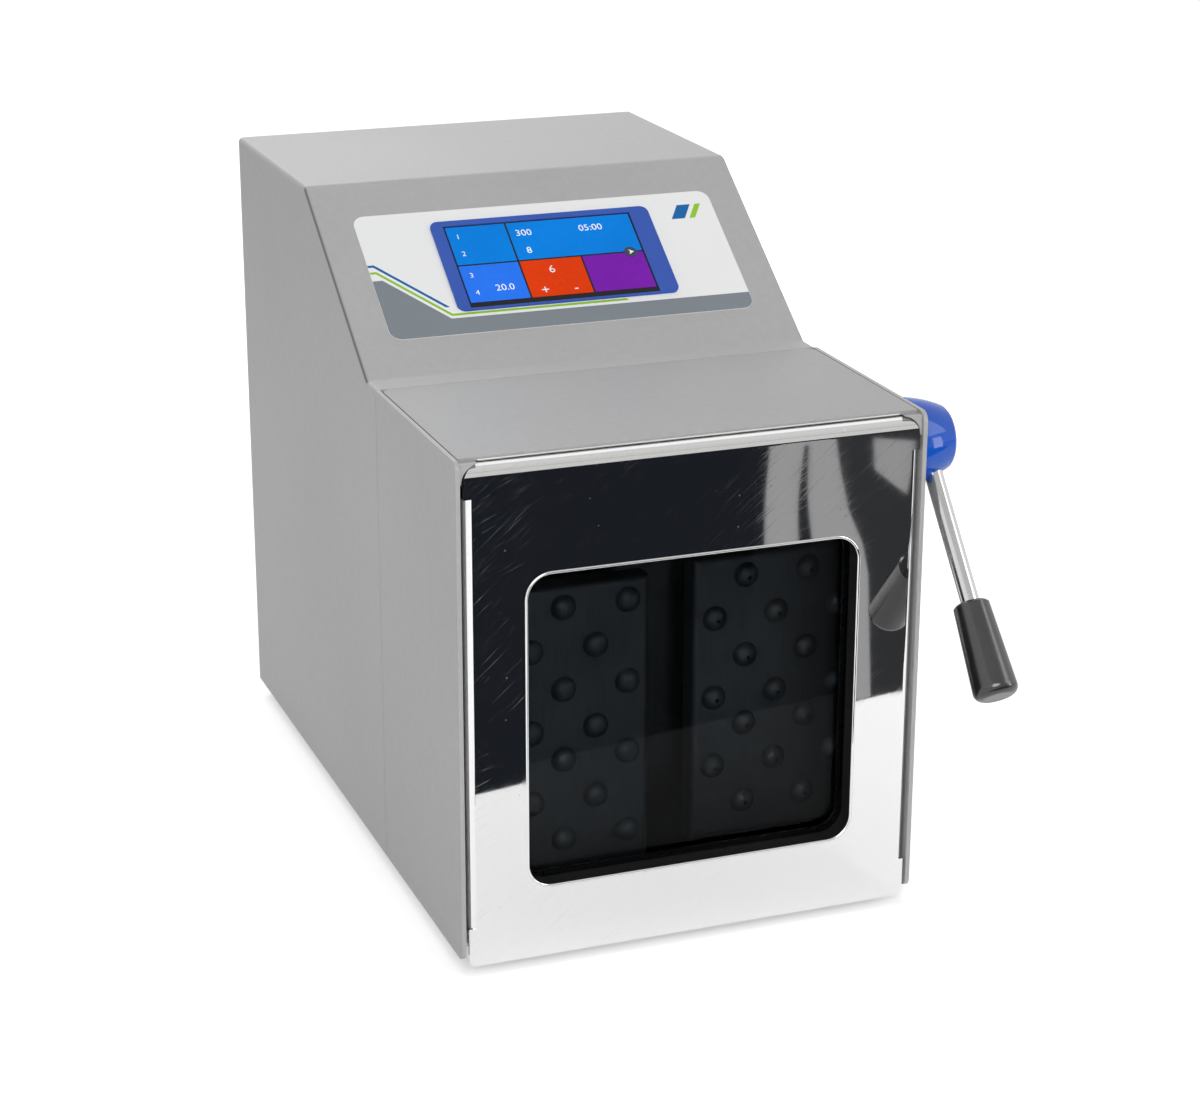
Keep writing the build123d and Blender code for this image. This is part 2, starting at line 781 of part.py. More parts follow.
def lever_hub():
    """Tapered barrel turned about the latch shaft."""
    chamfer = hub_chamfer
    profile = [
        Line((0, 0), (hub_radius - chamfer, 0)),
        Line((hub_radius - chamfer, 0), (hub_radius, chamfer)),
        ThreePointArc(
            (hub_radius, chamfer),
            ((hub_radius + hub_end_radius) / 2 + hub_swell, hub_length / 2),
            (hub_end_radius, hub_length - chamfer),
        ),
        Line((hub_end_radius, hub_length - chamfer), (hub_end_radius - chamfer, hub_length)),
        Line((hub_end_radius - chamfer, hub_length), (0, hub_length)),
        Line((0, hub_length), (0, 0)),
    ]
    half_section = Plane.XZ * make_face(profile)
    hub = revolve(half_section, Axis.Z)
    hub = Pos(hub_start, *latch) * Rot(0, 90, 0) * hub
    hub -= bar("x", latch, latch_radius, hub_start - 1, hub_end + 1)
    return hub - lever_bar(rod_start, hub_radius + 5)


def lever_bar(start, end):
    """A round bar of the lever's size between two distances from the latch shaft."""
    return lever_axis * Pos(0, 0, (start + end) / 2) * Cylinder(lever_radius, end - start)


def hub_screw():
    screw = bar("x", latch, screw_radius, hub_end - hub_screw_length, hub_end)
    return screw + bar("x", latch, hub_screw_head_radius, hub_end, hub_end + hub_screw_head)


def lever_rod():
    return lever_bar(rod_start, grip_start + grip_length / 2)


def lever_grip():
    top, end = grip_radius_top, grip_radius_end
    nose, cut = grip_nose, grip_chamfer
    bulge = nose * (1 - 1 / math.sqrt(2))
    profile = [
        Line((0, 0), (top - cut, 0)),
        Line((top - cut, 0), (top, cut)),
        Line((top, cut), (end, grip_length - nose)),
        ThreePointArc(
            (end, grip_length - nose), (end - bulge, grip_length - bulge), (end - nose, grip_length)
        ),
        Line((end - nose, grip_length), (0, grip_length)),
        Line((0, grip_length), (0, 0)),
    ]
    grip = revolve(Plane.XZ * make_face(profile), Axis.Z)
    grip = lever_axis * Pos(0, 0, grip_start) * grip
    return grip - lever_bar(grip_start - 1, grip_start + grip_length / 2)


# ---- Chamber and paddles ----


def rod_places(side):
    return [(side * paddle_x, level) for level in rod_levels]


def all_rod_places():
    return rod_places(-1) + rod_places(1)


def chamber_liner():
    """Stainless box round the paddles, open at the front and the top."""
    t = chamber_sheet
    w = chamber_half_width
    low, high = chamber_z
    box = block((-w, w), (chamber_front, chamber_back), (low, high))
    box -= block((-w + t, w - t), (chamber_front - 1, chamber_back - t), (low + t, high + 1))
    for x, z in all_rod_places():
        box -= bar("y", (x, z), rod_radius + seal_wall, chamber_back - 5, chamber_back + 1)
    return box


def rod_seals():
    pieces = []
    for place in all_rod_places():
        outer = rod_radius + seal_wall
        inner = rod_radius + running_fit
        seal = ring("y", place, outer, inner, chamber_back - 2 * chamber_sheet, plate_front)
        seal += ring("y", place, outer + seal_lip, inner, chamber_back, plate_front)
        pieces.append(seal)
    return group(pieces)


def dome_rows():
    """Heights of the seven dome rows; the fourth and fifth are closer together."""
    level = paddle_z[1] - dome_top_margin
    pitch = (level - paddle_z[0] - dome_low_margin - dome_middle_pitch) / 5
    rows = [level]
    for step in (pitch, pitch, pitch, dome_middle_pitch, pitch, pitch):
        level -= step
        rows.append(level)
    return rows


def dome_places(side):
    """Centres of one paddle's domes: rows of three and two by turns."""
    pitch = (paddle_width / 2 - dome_side_margin) / 2
    wide, narrow = (-2, 0, 2), (-1, 1)
    first, second = (wide, narrow) if side < 0 else (narrow, wide)
    places = []
    for index, level in enumerate(dome_rows()):
        for column in second if index % 2 else first:
            places.append((side * paddle_x + column * pitch, level))
    return places


def paddle(side, face_y):
    """Deep-drawn paddle with domes on its face and two rod bosses behind."""
    x = (side * paddle_x - paddle_width / 2, side * paddle_x + paddle_width / 2)
    z = paddle_z
    back = face_y + paddle_depth
    body = block(x, (face_y, back), z)
    body = fillet(body.faces().sort_by(Axis.Y)[0].edges(), paddle_edge)
    hollow = (face_y + paddle_sheet, back + 1)
    body -= block(
        (x[0] + paddle_rim, x[1] - paddle_rim), hollow, (z[0] + paddle_rim, z[1] - paddle_rim)
    )
    for place in rod_places(side):
        body += ring("y", place, rod_radius + boss_wall, rod_radius, face_y + paddle_sheet, back)
    ball = (dome_radius**2 + dome_height**2) / (2 * dome_height)
    cap = Pos(0, ball - dome_height, 0) * Sphere(ball)
    cap &= block((-ball, ball), (-dome_height - 1, paddle_sheet / 2), (-ball, ball))
    for px, pz in dome_places(side):
        body += Pos(px, face_y, pz) * cap
    if side > 0:
        apex = face_y - dome_height
        for place in dome_places(side):
            body -= bar("y", place, dome_hole_radius, apex - 1, apex + dome_hole_depth)
    return body


# ---- Drive ----


def bearing_plate():
    plate = block((-wall_in, wall_in), (plate_front, plate_back), (base_top, deck - hood_flange - frame_gap))
    flange_notch = block(
        (wall_in - base_sheet, wall_in), (plate_front - 1, plate_back + 1), (base_top, base_top + base_flange)
    )
    plate -= mirrored(flange_notch)
    for place in all_rod_places():
        plate -= bar("y", place, bush_radius, plate_front - 1, plate_back + 1)
    for x, y in plate_screw_places():
        plate -= bar("z", (x, y), screw_radius, base_top - 1, base_top + screw_bite)
    return plate


def rod_bearings():
    pieces = []
    for place in all_rod_places():
        inner = rod_radius + running_fit
        bush = ring("y", place, bush_radius, inner, plate_front, plate_front + bush_length)
        bush += ring("y", place, bush_flange_radius, inner, plate_back, plate_back + bush_flange_sheet)
        pieces.append(bush)
    return group(pieces)


def push_rods(side, face_y):
    start = face_y + paddle_sheet
    end = yoke_front(side) + yoke_wall + rod_bite
    return group([bar("y", place, rod_radius, start, end) for place in rod_places(side)])


def yoke_centre(side):
    """Where the yoke's slot stands at rest: the left paddle is forward, the right one back."""
    return drive[0] + side * stroke / 2


def yoke_front(side):
    return yoke_centre(side) - slot_half - yoke_wall


def yoke(side):
    """Frame whose upright slot is pushed to and fro by the eccentric's roller."""
    y, z = yoke_centre(side), drive[1]
    front = yoke_front(side)
    x = (side * paddle_x - yoke_width / 2, side * paddle_x + yoke_width / 2)
    rise = rod_spread + rod_radius + yoke_end
    frame = block(x, (front, 2 * y - front), (z - rise, z + rise))
    frame = fillet(frame.edges().filter_by(Axis.X), yoke_corner)
    slot = block((x[0] - 1, x[1] + 1), (y - slot_half, y + slot_half), (z - slot_rise, z + slot_rise))
    frame -= fillet(slot.edges().filter_by(Axis.X), 1.0)
    for place in rod_places(side):
        frame -= bar("y", place, rod_radius, front - 1, front + yoke_wall + rod_bite)
    return frame


def eccentric_centre(side):
    return (drive[0] + side * stroke / 2, drive[1])


def eccentric_shaft():
    reach = drive_plate_span[1] + 2
    shaft = bar("x", drive, shaft_radius, -reach, reach)
    for side in (-1, 1):
        x = side * paddle_x
        span = (x - eccentric_width / 2, x + eccentric_width / 2)
        shaft += bar("x", eccentric_centre(side), eccentric_radius, *span)
    return shaft


def eccentric_rollers():
    pieces = []
    for side in (-1, 1):
        x = side * paddle_x
        span = (x - roller_width / 2, x + roller_width / 2)
        pieces.append(ring("x", eccentric_centre(side), roller_radius, eccentric_radius, *span))
    return group(pieces)


def drive_plates():
    """Two upright plates on the base that carry the drive shaft."""
    x = drive_plate_span
    y = (drive[0] - drive_plate_length / 2, drive[0] + drive_plate_length / 2)
    plate = block(x, y, (base_top, drive[1] + ball_bearing_radius + drive_plate_head))
    plate = fillet(plate.edges().filter_by(Axis.X).group_by(Axis.Z)[-1], plate_corner)
    plate -= bar("x", drive, ball_bearing_radius, x[0] - 1, x[1] + 1)
    for px, py in drive_plate_screw_places():
        if px > 0:
            plate -= bar("z", (px, py), screw_radius, base_top - 1, base_top + screw_bite)
    return both_sides(plate)


def shaft_bearings():
    return both_sides(ring("x", drive, ball_bearing_radius, shaft_radius + running_fit, *drive_plate_span))


def pulley(axis, radius, bore, holes):
    """Flanged belt pulley, with a ring of round lightening holes when it is large."""
    body = bar("x", axis, radius, *pulley_span)
    for x in (pulley_span[0] - pulley_flange, pulley_span[1]):
        body += bar("x", axis, radius + pulley_flange_lip, x, x + pulley_flange)
    for index in range(holes):
        angle = 2 * math.pi * index / holes
        reach = (radius + bore) / 2
        spot = (axis[0] + reach * math.cos(angle), axis[1] + reach * math.sin(angle))
        body -= bar("x", spot, radius / 5, pulley_span[0] - 5, pulley_span[1] + 5)
    return body - bar("x", axis, bore, pulley_span[0] - 5, pulley_span[1] + 5)


def belt_loop(extra, span):
    """The solid inside a belt that lies round both pulleys, extra above their rims."""
    big, small = pulley_radius + extra, motor_pulley_radius + extra
    run = (motor_axis[0] - drive[0], motor_axis[1] - drive[1])
    distance = math.hypot(*run)
    heading = math.atan2(run[1], run[0])
    spread = math.acos((big - small) / distance)
    corners = []
    for side in (1, -1):
        angle = heading + side * spread
        tangent = [(drive, big), (motor_axis, small)]
        points = [(c[0] + r * math.cos(angle), c[1] + r * math.sin(angle)) for c, r in tangent]
        corners += points if side > 0 else points[::-1]
    return bar("x", drive, big, *span) + bar("x", motor_axis, small, *span) + prism("x", corners, *span)


def drive_belt():
    span = (pulley_span[0] + loose_fit, pulley_span[1] - loose_fit)
    wide = (span[0] - 1, span[1] + 1)
    return belt_loop(loose_fit + belt_sheet, span) - belt_loop(loose_fit, wide)


def motor_screw_places():
    y, z = motor_axis
    run = motor_screw_reach / math.sqrt(2)
    return [(y + across * run, z + up * run) for across in (-1, 1) for up in (-1, 1)]


def motor():
    """Motor body with a rear cap, a front ring and a spigot in the bracket."""
    back = motor_front_x - motor_length
    seat = motor_front_x - motor_screw_length
    body = bar("x", motor_axis, motor_radius, back + motor_cap, seat)
    body += bar("x", motor_axis, motor_radius - 2 * motor_step, back, back + motor_cap)
    body += bar("x", motor_axis, motor_radius - motor_step, seat, motor_front_x)
    body += bar("x", motor_axis, motor_spigot_radius, motor_front_x, motor_face_x)
    body -= bar("x", motor_axis, motor_shaft_radius + running_fit, seat - 2, motor_face_x + 1)
    for place in motor_screw_places():
        body -= bar("x", place, screw_radius, seat - 2, motor_front_x + 1)
    return body


def motor_bracket():
    """Angle that stands on the base, its foot under the motor."""
    y, z = motor_axis
    x = (motor_front_x, motor_face_x)
    width = (y - bracket_half_width, y + bracket_half_width)
    plate = block(x, width, (base_top, z + motor_radius))
    plate = fillet(plate.edges().filter_by(Axis.X).group_by(Axis.Z)[-1], plate_corner)
    plate += block((motor_front_x - bracket_foot, motor_front_x), width, (base_top, base_top + bracket_sheet))
    plate -= bar("x", motor_axis, motor_spigot_radius, x[0] - 1, x[1] + 1)
    for place in motor_screw_places():
        plate -= bar("x", place, screw_radius + loose_fit, x[0] - 1, x[1] + 1)
    for px, py in bracket_screw_places():
        plate -= bar("z", (px, py), screw_radius, base_top - 1, base_top + bracket_sheet + 1)
    return plate


def motor_screws():
    pieces = []
    for place in motor_screw_places():
        screw = bar("x", place, screw_radius, motor_front_x - motor_screw_length, motor_face_x)
        head = bar("x", place, screw_head_ratio * screw_radius, motor_face_x, motor_face_x + screw_head)
        pieces.append(screw + head)
    return group(pieces)


def motor_shaft():
    start = motor_front_x - motor_screw_length - 1
    return bar("x", motor_axis, motor_shaft_radius, start, pulley_span[1] + motor_shaft_end)


def plate_screw_places():
    y = (plate_front + plate_back) / 2
    reach = wall_in - plate_screw_edge
    return [(share * reach, y) for share in (-1, -1 / 3, 1 / 3, 1)]


def drive_plate_screw_places():
    x = (drive_plate_span[0] + drive_plate_span[1]) / 2
    run = drive_screw_pitch / 2
    return [(side * x, drive[0] + step * run) for side in (-1, 1) for step in (-1, 1)]


def bracket_screw_places():
    near, far = bracket_screw_inset, bracket_foot - bracket_screw_inset
    run = bracket_half_width - bracket_screw_edge
    return [(motor_front_x - back, motor_axis[0] + side * run) for back in (near, far) for side in (-1, 1)]


def frame_screw_places():
    return plate_screw_places() + drive_plate_screw_places() + bracket_screw_places()


def frame_screws():
    """Screws put in from under the base, for the bearing plate, drive plates and motor bracket."""
    pieces = []
    for place in frame_screw_places():
        bite = bracket_sheet if place in bracket_screw_places() else screw_bite - 1
        screw = bar("z", place, screw_radius, floor, base_top + bite)
        pieces.append(screw + bar("z", place, screw_head_ratio * screw_radius, floor - screw_head, floor))
    return group(pieces)


# ---- Controls and electrics ----


def slope_panel(x, s, n, radius):
    """A round-cornered plate lying on the control slope: across, up the slope and out of it."""
    return fillet(block(x, s, n).edges().filter_by(Axis.Z), radius)


def front_overlay():
    span = (overlay_margin - half, half - overlay_margin)
    plate = slope_panel(span, (overlay_low, overlay_high), (0, overlay_sheet), overlay_radius)
    return slope * (plate - block(*screen_hole, (-1, overlay_sheet + 1)))


def screen_bezel():
    top = overlay_sheet + bezel_sheet
    plate = slope_panel(bezel_x, (bezel_low, bezel_high), (overlay_sheet, top), bezel_radius)
    return slope * (plate - block(*screen_hole, (-1, top + 1)))


def touch_screen():
    return slope * block(screen_x, (screen_low, screen_high), (screen_front - screen_depth, screen_front))


def display_board():
    """Circuit board behind the screen, with a connector, held by four posts under the slope."""
    level = screen_front - screen_depth
    x = (screen_x[0] - display_margin, screen_x[1] + display_margin)
    s = (screen_low - display_margin, screen_high + display_margin)
    board = block(x, s, (level - board_sheet, level))
    left, low = x[0] + connector_place[0], s[0] + connector_place[1]
    width, height, rise = connector_size
    under = level - board_sheet
    board += block((left, left + width), (low, low + height), (under - rise, under))
    inset = 2 * display_post_radius
    for px in (x[0] + inset, x[1] - inset):
        for ps in (s[0] + inset, s[1] - inset):
            board += bar("z", (px, ps), display_post_radius, level, -cover_sheet)
    return slope * board


def socket_body(place, size, grow, y_low, y_high):
    """A round-cornered body along Y, of a width and height, each side moved out by grow."""
    x, z = place
    width, height = size[0] / 2 + grow, size[1] / 2 + grow
    return panel((x - width, x + width), (y_low, y_high), (z - height, z + height), socket_corner)


def inlet_screw_places():
    return [(inlet[0] + side * inlet_screw_pitch / 2, inlet[1]) for side in (-1, 1)]


def power_inlet():
    """Three-blade mains inlet with its flange on the back panel."""
    x, z = inlet
    bottom = inlet_mouth - inlet_cavity
    body = socket_body(inlet, inlet_body_size, 0, body_depth - inlet_depth, body_depth)
    body += socket_body(inlet, (inlet_flange_width, inlet_flange_height), 0, body_depth, inlet_mouth)
    body -= socket_body(inlet, (inlet_width, inlet_height), 0, bottom, inlet_mouth + 1)
    half_thick, half_high = inlet_blade_size[0] / 2, inlet_blade_size[1] / 2
    reach = (bottom - 1, inlet_mouth - inlet_blade_set)
    blade = block((-half_thick, half_thick), reach, (-half_high, half_high))
    for across, up in inlet_blades:
        body += Pos(x + across, 0, z + up) * blade
    for place in inlet_screw_places():
        body -= bar("y", place, small_screw_radius, body_depth - 1, inlet_mouth + 1)
    return body


def inlet_screws():
    pieces = []
    for place in inlet_screw_places():
        screw = bar("y", place, small_screw_radius, inlet_mouth - inlet_screw_length, inlet_mouth)
        head = bar("y", place, small_head_ratio * small_screw_radius, inlet_mouth, inlet_mouth + small_head)
        pieces.append(screw + head)
    return group(pieces)


def switch_frame():
    """Open-fronted body of the mains switch, with a lip on the back panel."""
    size = (switch_width, switch_height)
    body = socket_body(switch, size, 0, body_depth - switch_depth, body_depth)
    body += socket_body(switch, size, switch_lip, body_depth, body_depth + switch_lip_sheet)
    x, z = switch
    width, height = switch_width / 2 - switch_wall, switch_height / 2 - switch_wall
    bottom = body_depth - switch_depth + 2 * switch_wall
    return body - block((x - width, x + width), (bottom, body_depth + 3), (z - height, z + height))


def power_rocker():
    """See-saw key of the mains switch, resting with its upper end pressed in."""
    x, z = switch
    width = switch_width / 2 - switch_wall - rocker_gap
    reach = switch_height / 2 - switch_wall - rocker_end_gap
    tip = (rocker_crest - rocker_round, reach)
    crest = (rocker_crest, reach - rocker_round)
    upper = [(-rocker_root_depth, rocker_root_share * reach), tip, crest, (rocker_dish, 0)]
    face = upper + [(y, -up) for y, up in upper[2::-1]]
    outline = [(rocker_axle[0] + y, rocker_axle[1] + up) for y, up in face]
    key = prism("x", outline, x - width, x + width)
    return key.rotate(Axis((x, *rocker_axle), (1, 0, 0)), rocker_tilt)


def power_supply():
    """Closed supply with a row of slots in its lid."""
    width, length, height = supply_size
    x = (wall_in - supply_wall_gap - width, wall_in - supply_wall_gap)
    top = base_top + height
    case = block(x, supply_y, (base_top, top))
    first = supply_y[0] + (length - (supply_slots - 1) * supply_slot_pitch) / 2
    for index in range(supply_slots):
        y = first + index * supply_slot_pitch
        span = (x[0] + supply_slot_edge, x[1] - supply_slot_edge)
        half_slot = supply_slot_width / 2
        case -= block(span, (y - half_slot, y + half_slot), (top - supply_slot_depth, top + 1))
    return case


def board_corners():
    columns = (board_left + board_post_inset, board_left + board_width - board_post_inset)
    levels = (board_z[0] + board_post_inset, board_z[1] - board_post_inset)
    return [(x, z) for x in columns for z in levels]


def control_board():
    """Circuit board in front of the back panel, with its chips and two capacitor cans."""
    board = block((board_left, board_left + board_width), (board_y, board_y + board_sheet), board_z)
    for place in board_corners():
        board -= bar("y", place, small_screw_radius, board_y - 1, board_y + board_sheet + 1)
    for across, up, width, height, rise in board_chips:
        chip = block((-width / 2, width / 2), (board_y - rise, board_y), (-height / 2, height / 2))
        board += Pos(board_left + across, 0, board_z[0] + up) * chip
    for across, up in board_cans:
        place = (board_left + across, board_z[0] + up)
        board += bar("y", place, can_radius, board_y - can_length, board_y)
    return board


def board_standoffs():
    pieces = []
    for place in board_corners():
        post = bar("y", place, standoff_radius, board_y + board_sheet, panel_front)
        post += bar("y", place, small_screw_radius, board_y, board_y + board_sheet)
        head = bar("y", place, standoff_radius, board_y - small_head, board_y)
        pieces.append(post + head)
    return group(pieces)


parts = {
    "base_plate": base_plate(),
    "feet": feet(),
    "foot_screws": foot_screws(),
    "left_wall": side_wall(-1, 0),
    "right_wall": side_wall(1, latch_radius + wall_bush_wall),
    "hood_panel": hood_panel(),
    "joint_strip": joint_strip(),
    "rear_cover": rear_cover(),
    "cover_screws": cover_screws(),
    "back_panel": back_panel(),
    "door_panel": door_panel(),
    "window_gasket": window_gasket(),
    "door_window": door_window(),
    "door_liner": door_liner(),
    "liner_screws": liner_screws(),
    "hinge_brackets": hinge_brackets(),
    "hinge_pins": hinge_pins(),
    "catch_plates": catch_plates(),
    "clamp_strip": clamp_strip(),
    "latch_shaft": latch_shaft(),
    "shaft_bushes": shaft_bushes(),
    "clamp_bar": clamp_bar(),
    "lever_hub": lever_hub(),
    "hub_screw": hub_screw(),
    "lever_rod": lever_rod(),
    "lever_grip": lever_grip(),
    "chamber_liner": chamber_liner(),
    "rod_seals": rod_seals(),
    "left_paddle": paddle(-1, left_face_y),
    "right_paddle": paddle(1, right_face_y),
    "bearing_plate": bearing_plate(),
    "rod_bearings": rod_bearings(),
    "left_push_rods": push_rods(-1, left_face_y),
    "right_push_rods": push_rods(1, right_face_y),
    "left_yoke": yoke(-1),
    "right_yoke": yoke(1),
    "eccentric_shaft": eccentric_shaft(),
    "eccentric_rollers": eccentric_rollers(),
    "drive_plates": drive_plates(),
    "shaft_bearings": shaft_bearings(),
    "shaft_pulley": pulley(drive, pulley_radius, shaft_radius, 6),
    "motor_pulley": pulley(motor_axis, motor_pulley_radius, motor_shaft_radius, 0),
    "drive_belt": drive_belt(),
    "motor": motor(),
    "motor_bracket": motor_bracket(),
    "motor_screws": motor_screws(),
    "motor_shaft": motor_shaft(),
    "frame_screws": frame_screws(),
    "front_overlay": front_overlay(),
    "screen_bezel": screen_bezel(),
    "touch_screen": touch_screen(),
    "display_board": display_board(),
    "power_inlet": power_inlet(),
    "inlet_screws": inlet_screws(),
    "switch_frame": switch_frame(),
    "power_rocker": power_rocker(),
    "power_supply": power_supply(),
    "control_board": control_board(),
    "board_standoffs": board_standoffs(),
}

# The row's origin is on the bench, under the middle of the whole part.
bounds = Compound(children=[solid for part in parts.values() for solid in part.solids()]).bounding_box()
origin_shift = Pos(-(bounds.min.X + bounds.max.X) / 2, -(bounds.min.Y + bounds.max.Y) / 2, 0)

os.makedirs("parts", exist_ok=True)
for name, part in parts.items():
    export_step(origin_shift * part, os.path.join("parts", name + ".step"))
print("walls' front middle at", tuple(origin_shift.position))
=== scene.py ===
"""Looks for the paddle blender homogenizer: materials, screen, label and small fittings on the CAD frame."""

import math

import bmesh
import bpy
from mathutils import Matrix, Vector


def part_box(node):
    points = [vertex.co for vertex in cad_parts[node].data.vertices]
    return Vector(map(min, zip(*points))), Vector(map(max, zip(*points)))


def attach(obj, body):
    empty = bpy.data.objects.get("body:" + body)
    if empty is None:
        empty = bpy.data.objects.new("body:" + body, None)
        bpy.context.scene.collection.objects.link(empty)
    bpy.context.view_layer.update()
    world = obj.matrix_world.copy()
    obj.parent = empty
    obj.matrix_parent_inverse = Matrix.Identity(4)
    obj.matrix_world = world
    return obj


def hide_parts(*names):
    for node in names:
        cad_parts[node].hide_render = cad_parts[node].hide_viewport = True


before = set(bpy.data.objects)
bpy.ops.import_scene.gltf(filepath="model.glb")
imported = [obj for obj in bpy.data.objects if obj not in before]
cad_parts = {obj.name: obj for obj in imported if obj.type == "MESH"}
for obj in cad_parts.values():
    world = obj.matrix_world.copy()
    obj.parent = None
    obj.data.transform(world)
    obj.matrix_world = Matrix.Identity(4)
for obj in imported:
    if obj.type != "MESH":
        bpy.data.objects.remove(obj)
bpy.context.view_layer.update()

MM = 0.001

# ---- Places, in millimetres from the housing's middle, the walls' front edge and the bench ----
left_wall, right_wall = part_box("left_wall"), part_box("right_wall")
origin = Vector(((left_wall[0].x + right_wall[1].x) / 2, left_wall[0].y, 0))
SLOPE_FOOT = (132.0, 240.0)  # y and z where the control slope starts
SLOPE_DEPTH, SLOPE_RISE = 102.5, 71.0
SLOPE_ANGLE = math.atan2(SLOPE_RISE, SLOPE_DEPTH)


def point(x, y, z):
    """A place in the frame, from millimetres across, back and up."""
    return origin + Vector((x, y, z)) * MM


def slope_point(x, s, n):
    """A point across, up and out of the control slope."""
    y = SLOPE_FOOT[0] + s * math.cos(SLOPE_ANGLE) - n * math.sin(SLOPE_ANGLE)
    z = SLOPE_FOOT[1] + s * math.sin(SLOPE_ANGLE) + n * math.cos(SLOPE_ANGLE)
    return point(x, y, z)


# ---- Material helpers ----


def node(tree, kind, inputs=None, **settings):
    made = tree.nodes.new("ShaderNode" + kind)
    for key, value in settings.items():
        setattr(made, key, value)
    for key, value in (inputs or {}).items():
        if isinstance(value, bpy.types.NodeSocket):
            tree.links.new(value, made.inputs[key])
        else:
            made.inputs[key].default_value = value
    return made


def material(name, **sockets):
    """A material with one Principled shader, and the values that are the same all over it."""
    mat = bpy.data.materials.new(name)
    mat.use_nodes = True
    tree = mat.node_tree
    shader = tree.nodes["Principled BSDF"]
    for key, value in sockets.items():
        shader.inputs[key.replace("_", " ")].default_value = value
    return mat, tree, shader


def coordinates(tree, scale=(1, 1, 1), turn=(0, 0, 0)):
    """Places in the object's own metres, turned first and then stretched."""
    place = node(tree, "TexCoord").outputs["Object"]
    turned = node(tree, "Mapping", {"Vector": place, "Rotation": turn}).outputs["Vector"]
    return node(tree, "Mapping", {"Vector": turned, "Scale": scale}).outputs["Vector"]


def noise(tree, vector, scale, detail=2.0, rough=0.5):
    settings = {"Vector": vector, "Scale": scale, "Detail": detail, "Roughness": rough}
    return node(tree, "TexNoise", settings).outputs["Fac"]


def spread(tree, value, low, high, start=0.3, end=0.7):
    """A value between start and end, laid out between low and high."""
    settings = {"Value": value, "From Min": start, "From Max": end, "To Min": low, "To Max": high}
    return node(tree, "MapRange", settings).outputs["Result"]


def blend(tree, value, first, second):
    mix = node(tree, "Mix", data_type="RGBA")
    for socket, entry in (("Factor", value), ("A", first), ("B", second)):
        target = [i for i in mix.inputs if i.name == socket and i.enabled][0]
        if isinstance(entry, bpy.types.NodeSocket):
            tree.links.new(entry, target)
        else:
            target.default_value = entry
    return [o for o in mix.outputs if o.enabled][0]


def grey(value, tint=(1, 1, 1)):
    return tuple(value * t for t in tint) + (1,)


def bump(tree, shader, height, strength, depth):
    made = node(tree, "Bump", {"Height": height, "Strength": strength, "Distance": depth})
    tree.links.new(made.outputs["Normal"], shader.inputs["Normal"])


def link(tree, value, shader, socket):
    tree.links.new(value, shader.inputs[socket])


def maths(tree, operation, *values):
    """One number made from one or two others."""
    return node(tree, "Math", dict(enumerate(values)), operation=operation).outputs[0]


def mixed(tree, value, first, second):
    """The first shader where a value is 0, and the second where it is 1."""
    return node(tree, "MixShader", {0: value, 1: first, 2: second}).outputs[0]


def emission(tree, tone, strength):
    return node(tree, "Emission", {"Color": tone, "Strength": strength}).outputs[0]


def to_surface(tree, shown):
    tree.links.new(shown, tree.nodes["Material Output"].inputs["Surface"])


def grained(name, dark, light, grain, rough, depth, **sockets):
    """Paint or moulded plastic: fine grain in colour, gloss and relief, with slow shading over it."""
    mat, tree, shader = material(name, **sockets)
    where = coordinates(tree)
    fine = noise(tree, where, grain, 3)
    slow = noise(tree, where, 9, 2)
    tone = spread(tree, maths(tree, "ADD", fine, slow), 0, 1, 0.7, 1.3)
    link(tree, blend(tree, tone, dark, light), shader, "Base Color")
    link(tree, spread(tree, fine, *rough), shader, "Roughness")
    bump(tree, shader, fine, 0.5, depth)
    return mat


def satin_paint(name, tone):
    """Satin grey paint: fine grain, mottling, slow shading, and painted shade as a dark line on the slope's
    side folds.
    """
    mat, tree, shader = material(name, Specular_IOR_Level=0.4)
    where = coordinates(tree)
    fine = noise(tree, where, 1500, 3)
    mottle = noise(tree, where, 260, 3, 0.6)
    slow = noise(tree, where, 7, 2)
    tones = maths(tree, "ADD", maths(tree, "ADD", fine, mottle), slow)
    dark, light = grey(tone * 0.955), grey(tone * 1.045, (1, 1, 1.002))
    paint = blend(tree, spread(tree, tones, 0, 1, 1.2, 1.8), dark, light)
    # Painted shade: a dark line on the slope's side folds, where the normal turns from the side to the
    # front, standing in for the shade on the rounded fold.
    normal = node(tree, "TexCoord").outputs["Normal"]
    facing = node(tree, "SeparateXYZ", {"Vector": normal}).outputs
    across = maths(tree, "ABSOLUTE", facing["X"])
    rise = spread(tree, across, 0, 1, 0.45, 0.75)
    fall = spread(tree, across, 1, 0, 0.9, 0.985)
    sloped = spread(tree, facing["Y"], 1, 0, -0.3, -0.16)
    line = maths(tree, "MULTIPLY", maths(tree, "MULTIPLY", rise, fall), sloped)
    link(tree, blend(tree, line, paint, grey(tone * 0.3)), shader, "Base Color")
    link(tree, spread(tree, fine, 0.4, 0.52), shader, "Roughness")
    bump(tree, shader, tones, 0.35, 0.00004)
    return mat


def brushed(name, dark, light, rough, lines, turn=(0, 0, 0)):
    """Metal with fine lines along one direction."""
    mat, tree, shader = material(name, Metallic=1.0)
    streaks = noise(tree, coordinates(tree, lines, turn), 1, 4, 0.6)
    slow = noise(tree, coordinates(tree), 14, 2)
    tone = spread(tree, maths(tree, "ADD", streaks, slow), 0, 1, 0.7, 1.3)
    link(tree, blend(tree, tone, dark, light), shader, "Base Color")
    link(tree, spread(tree, streaks, *rough), shader, "Roughness")
    bump(tree, shader, streaks, 0.4, 0.00002)
    return mat


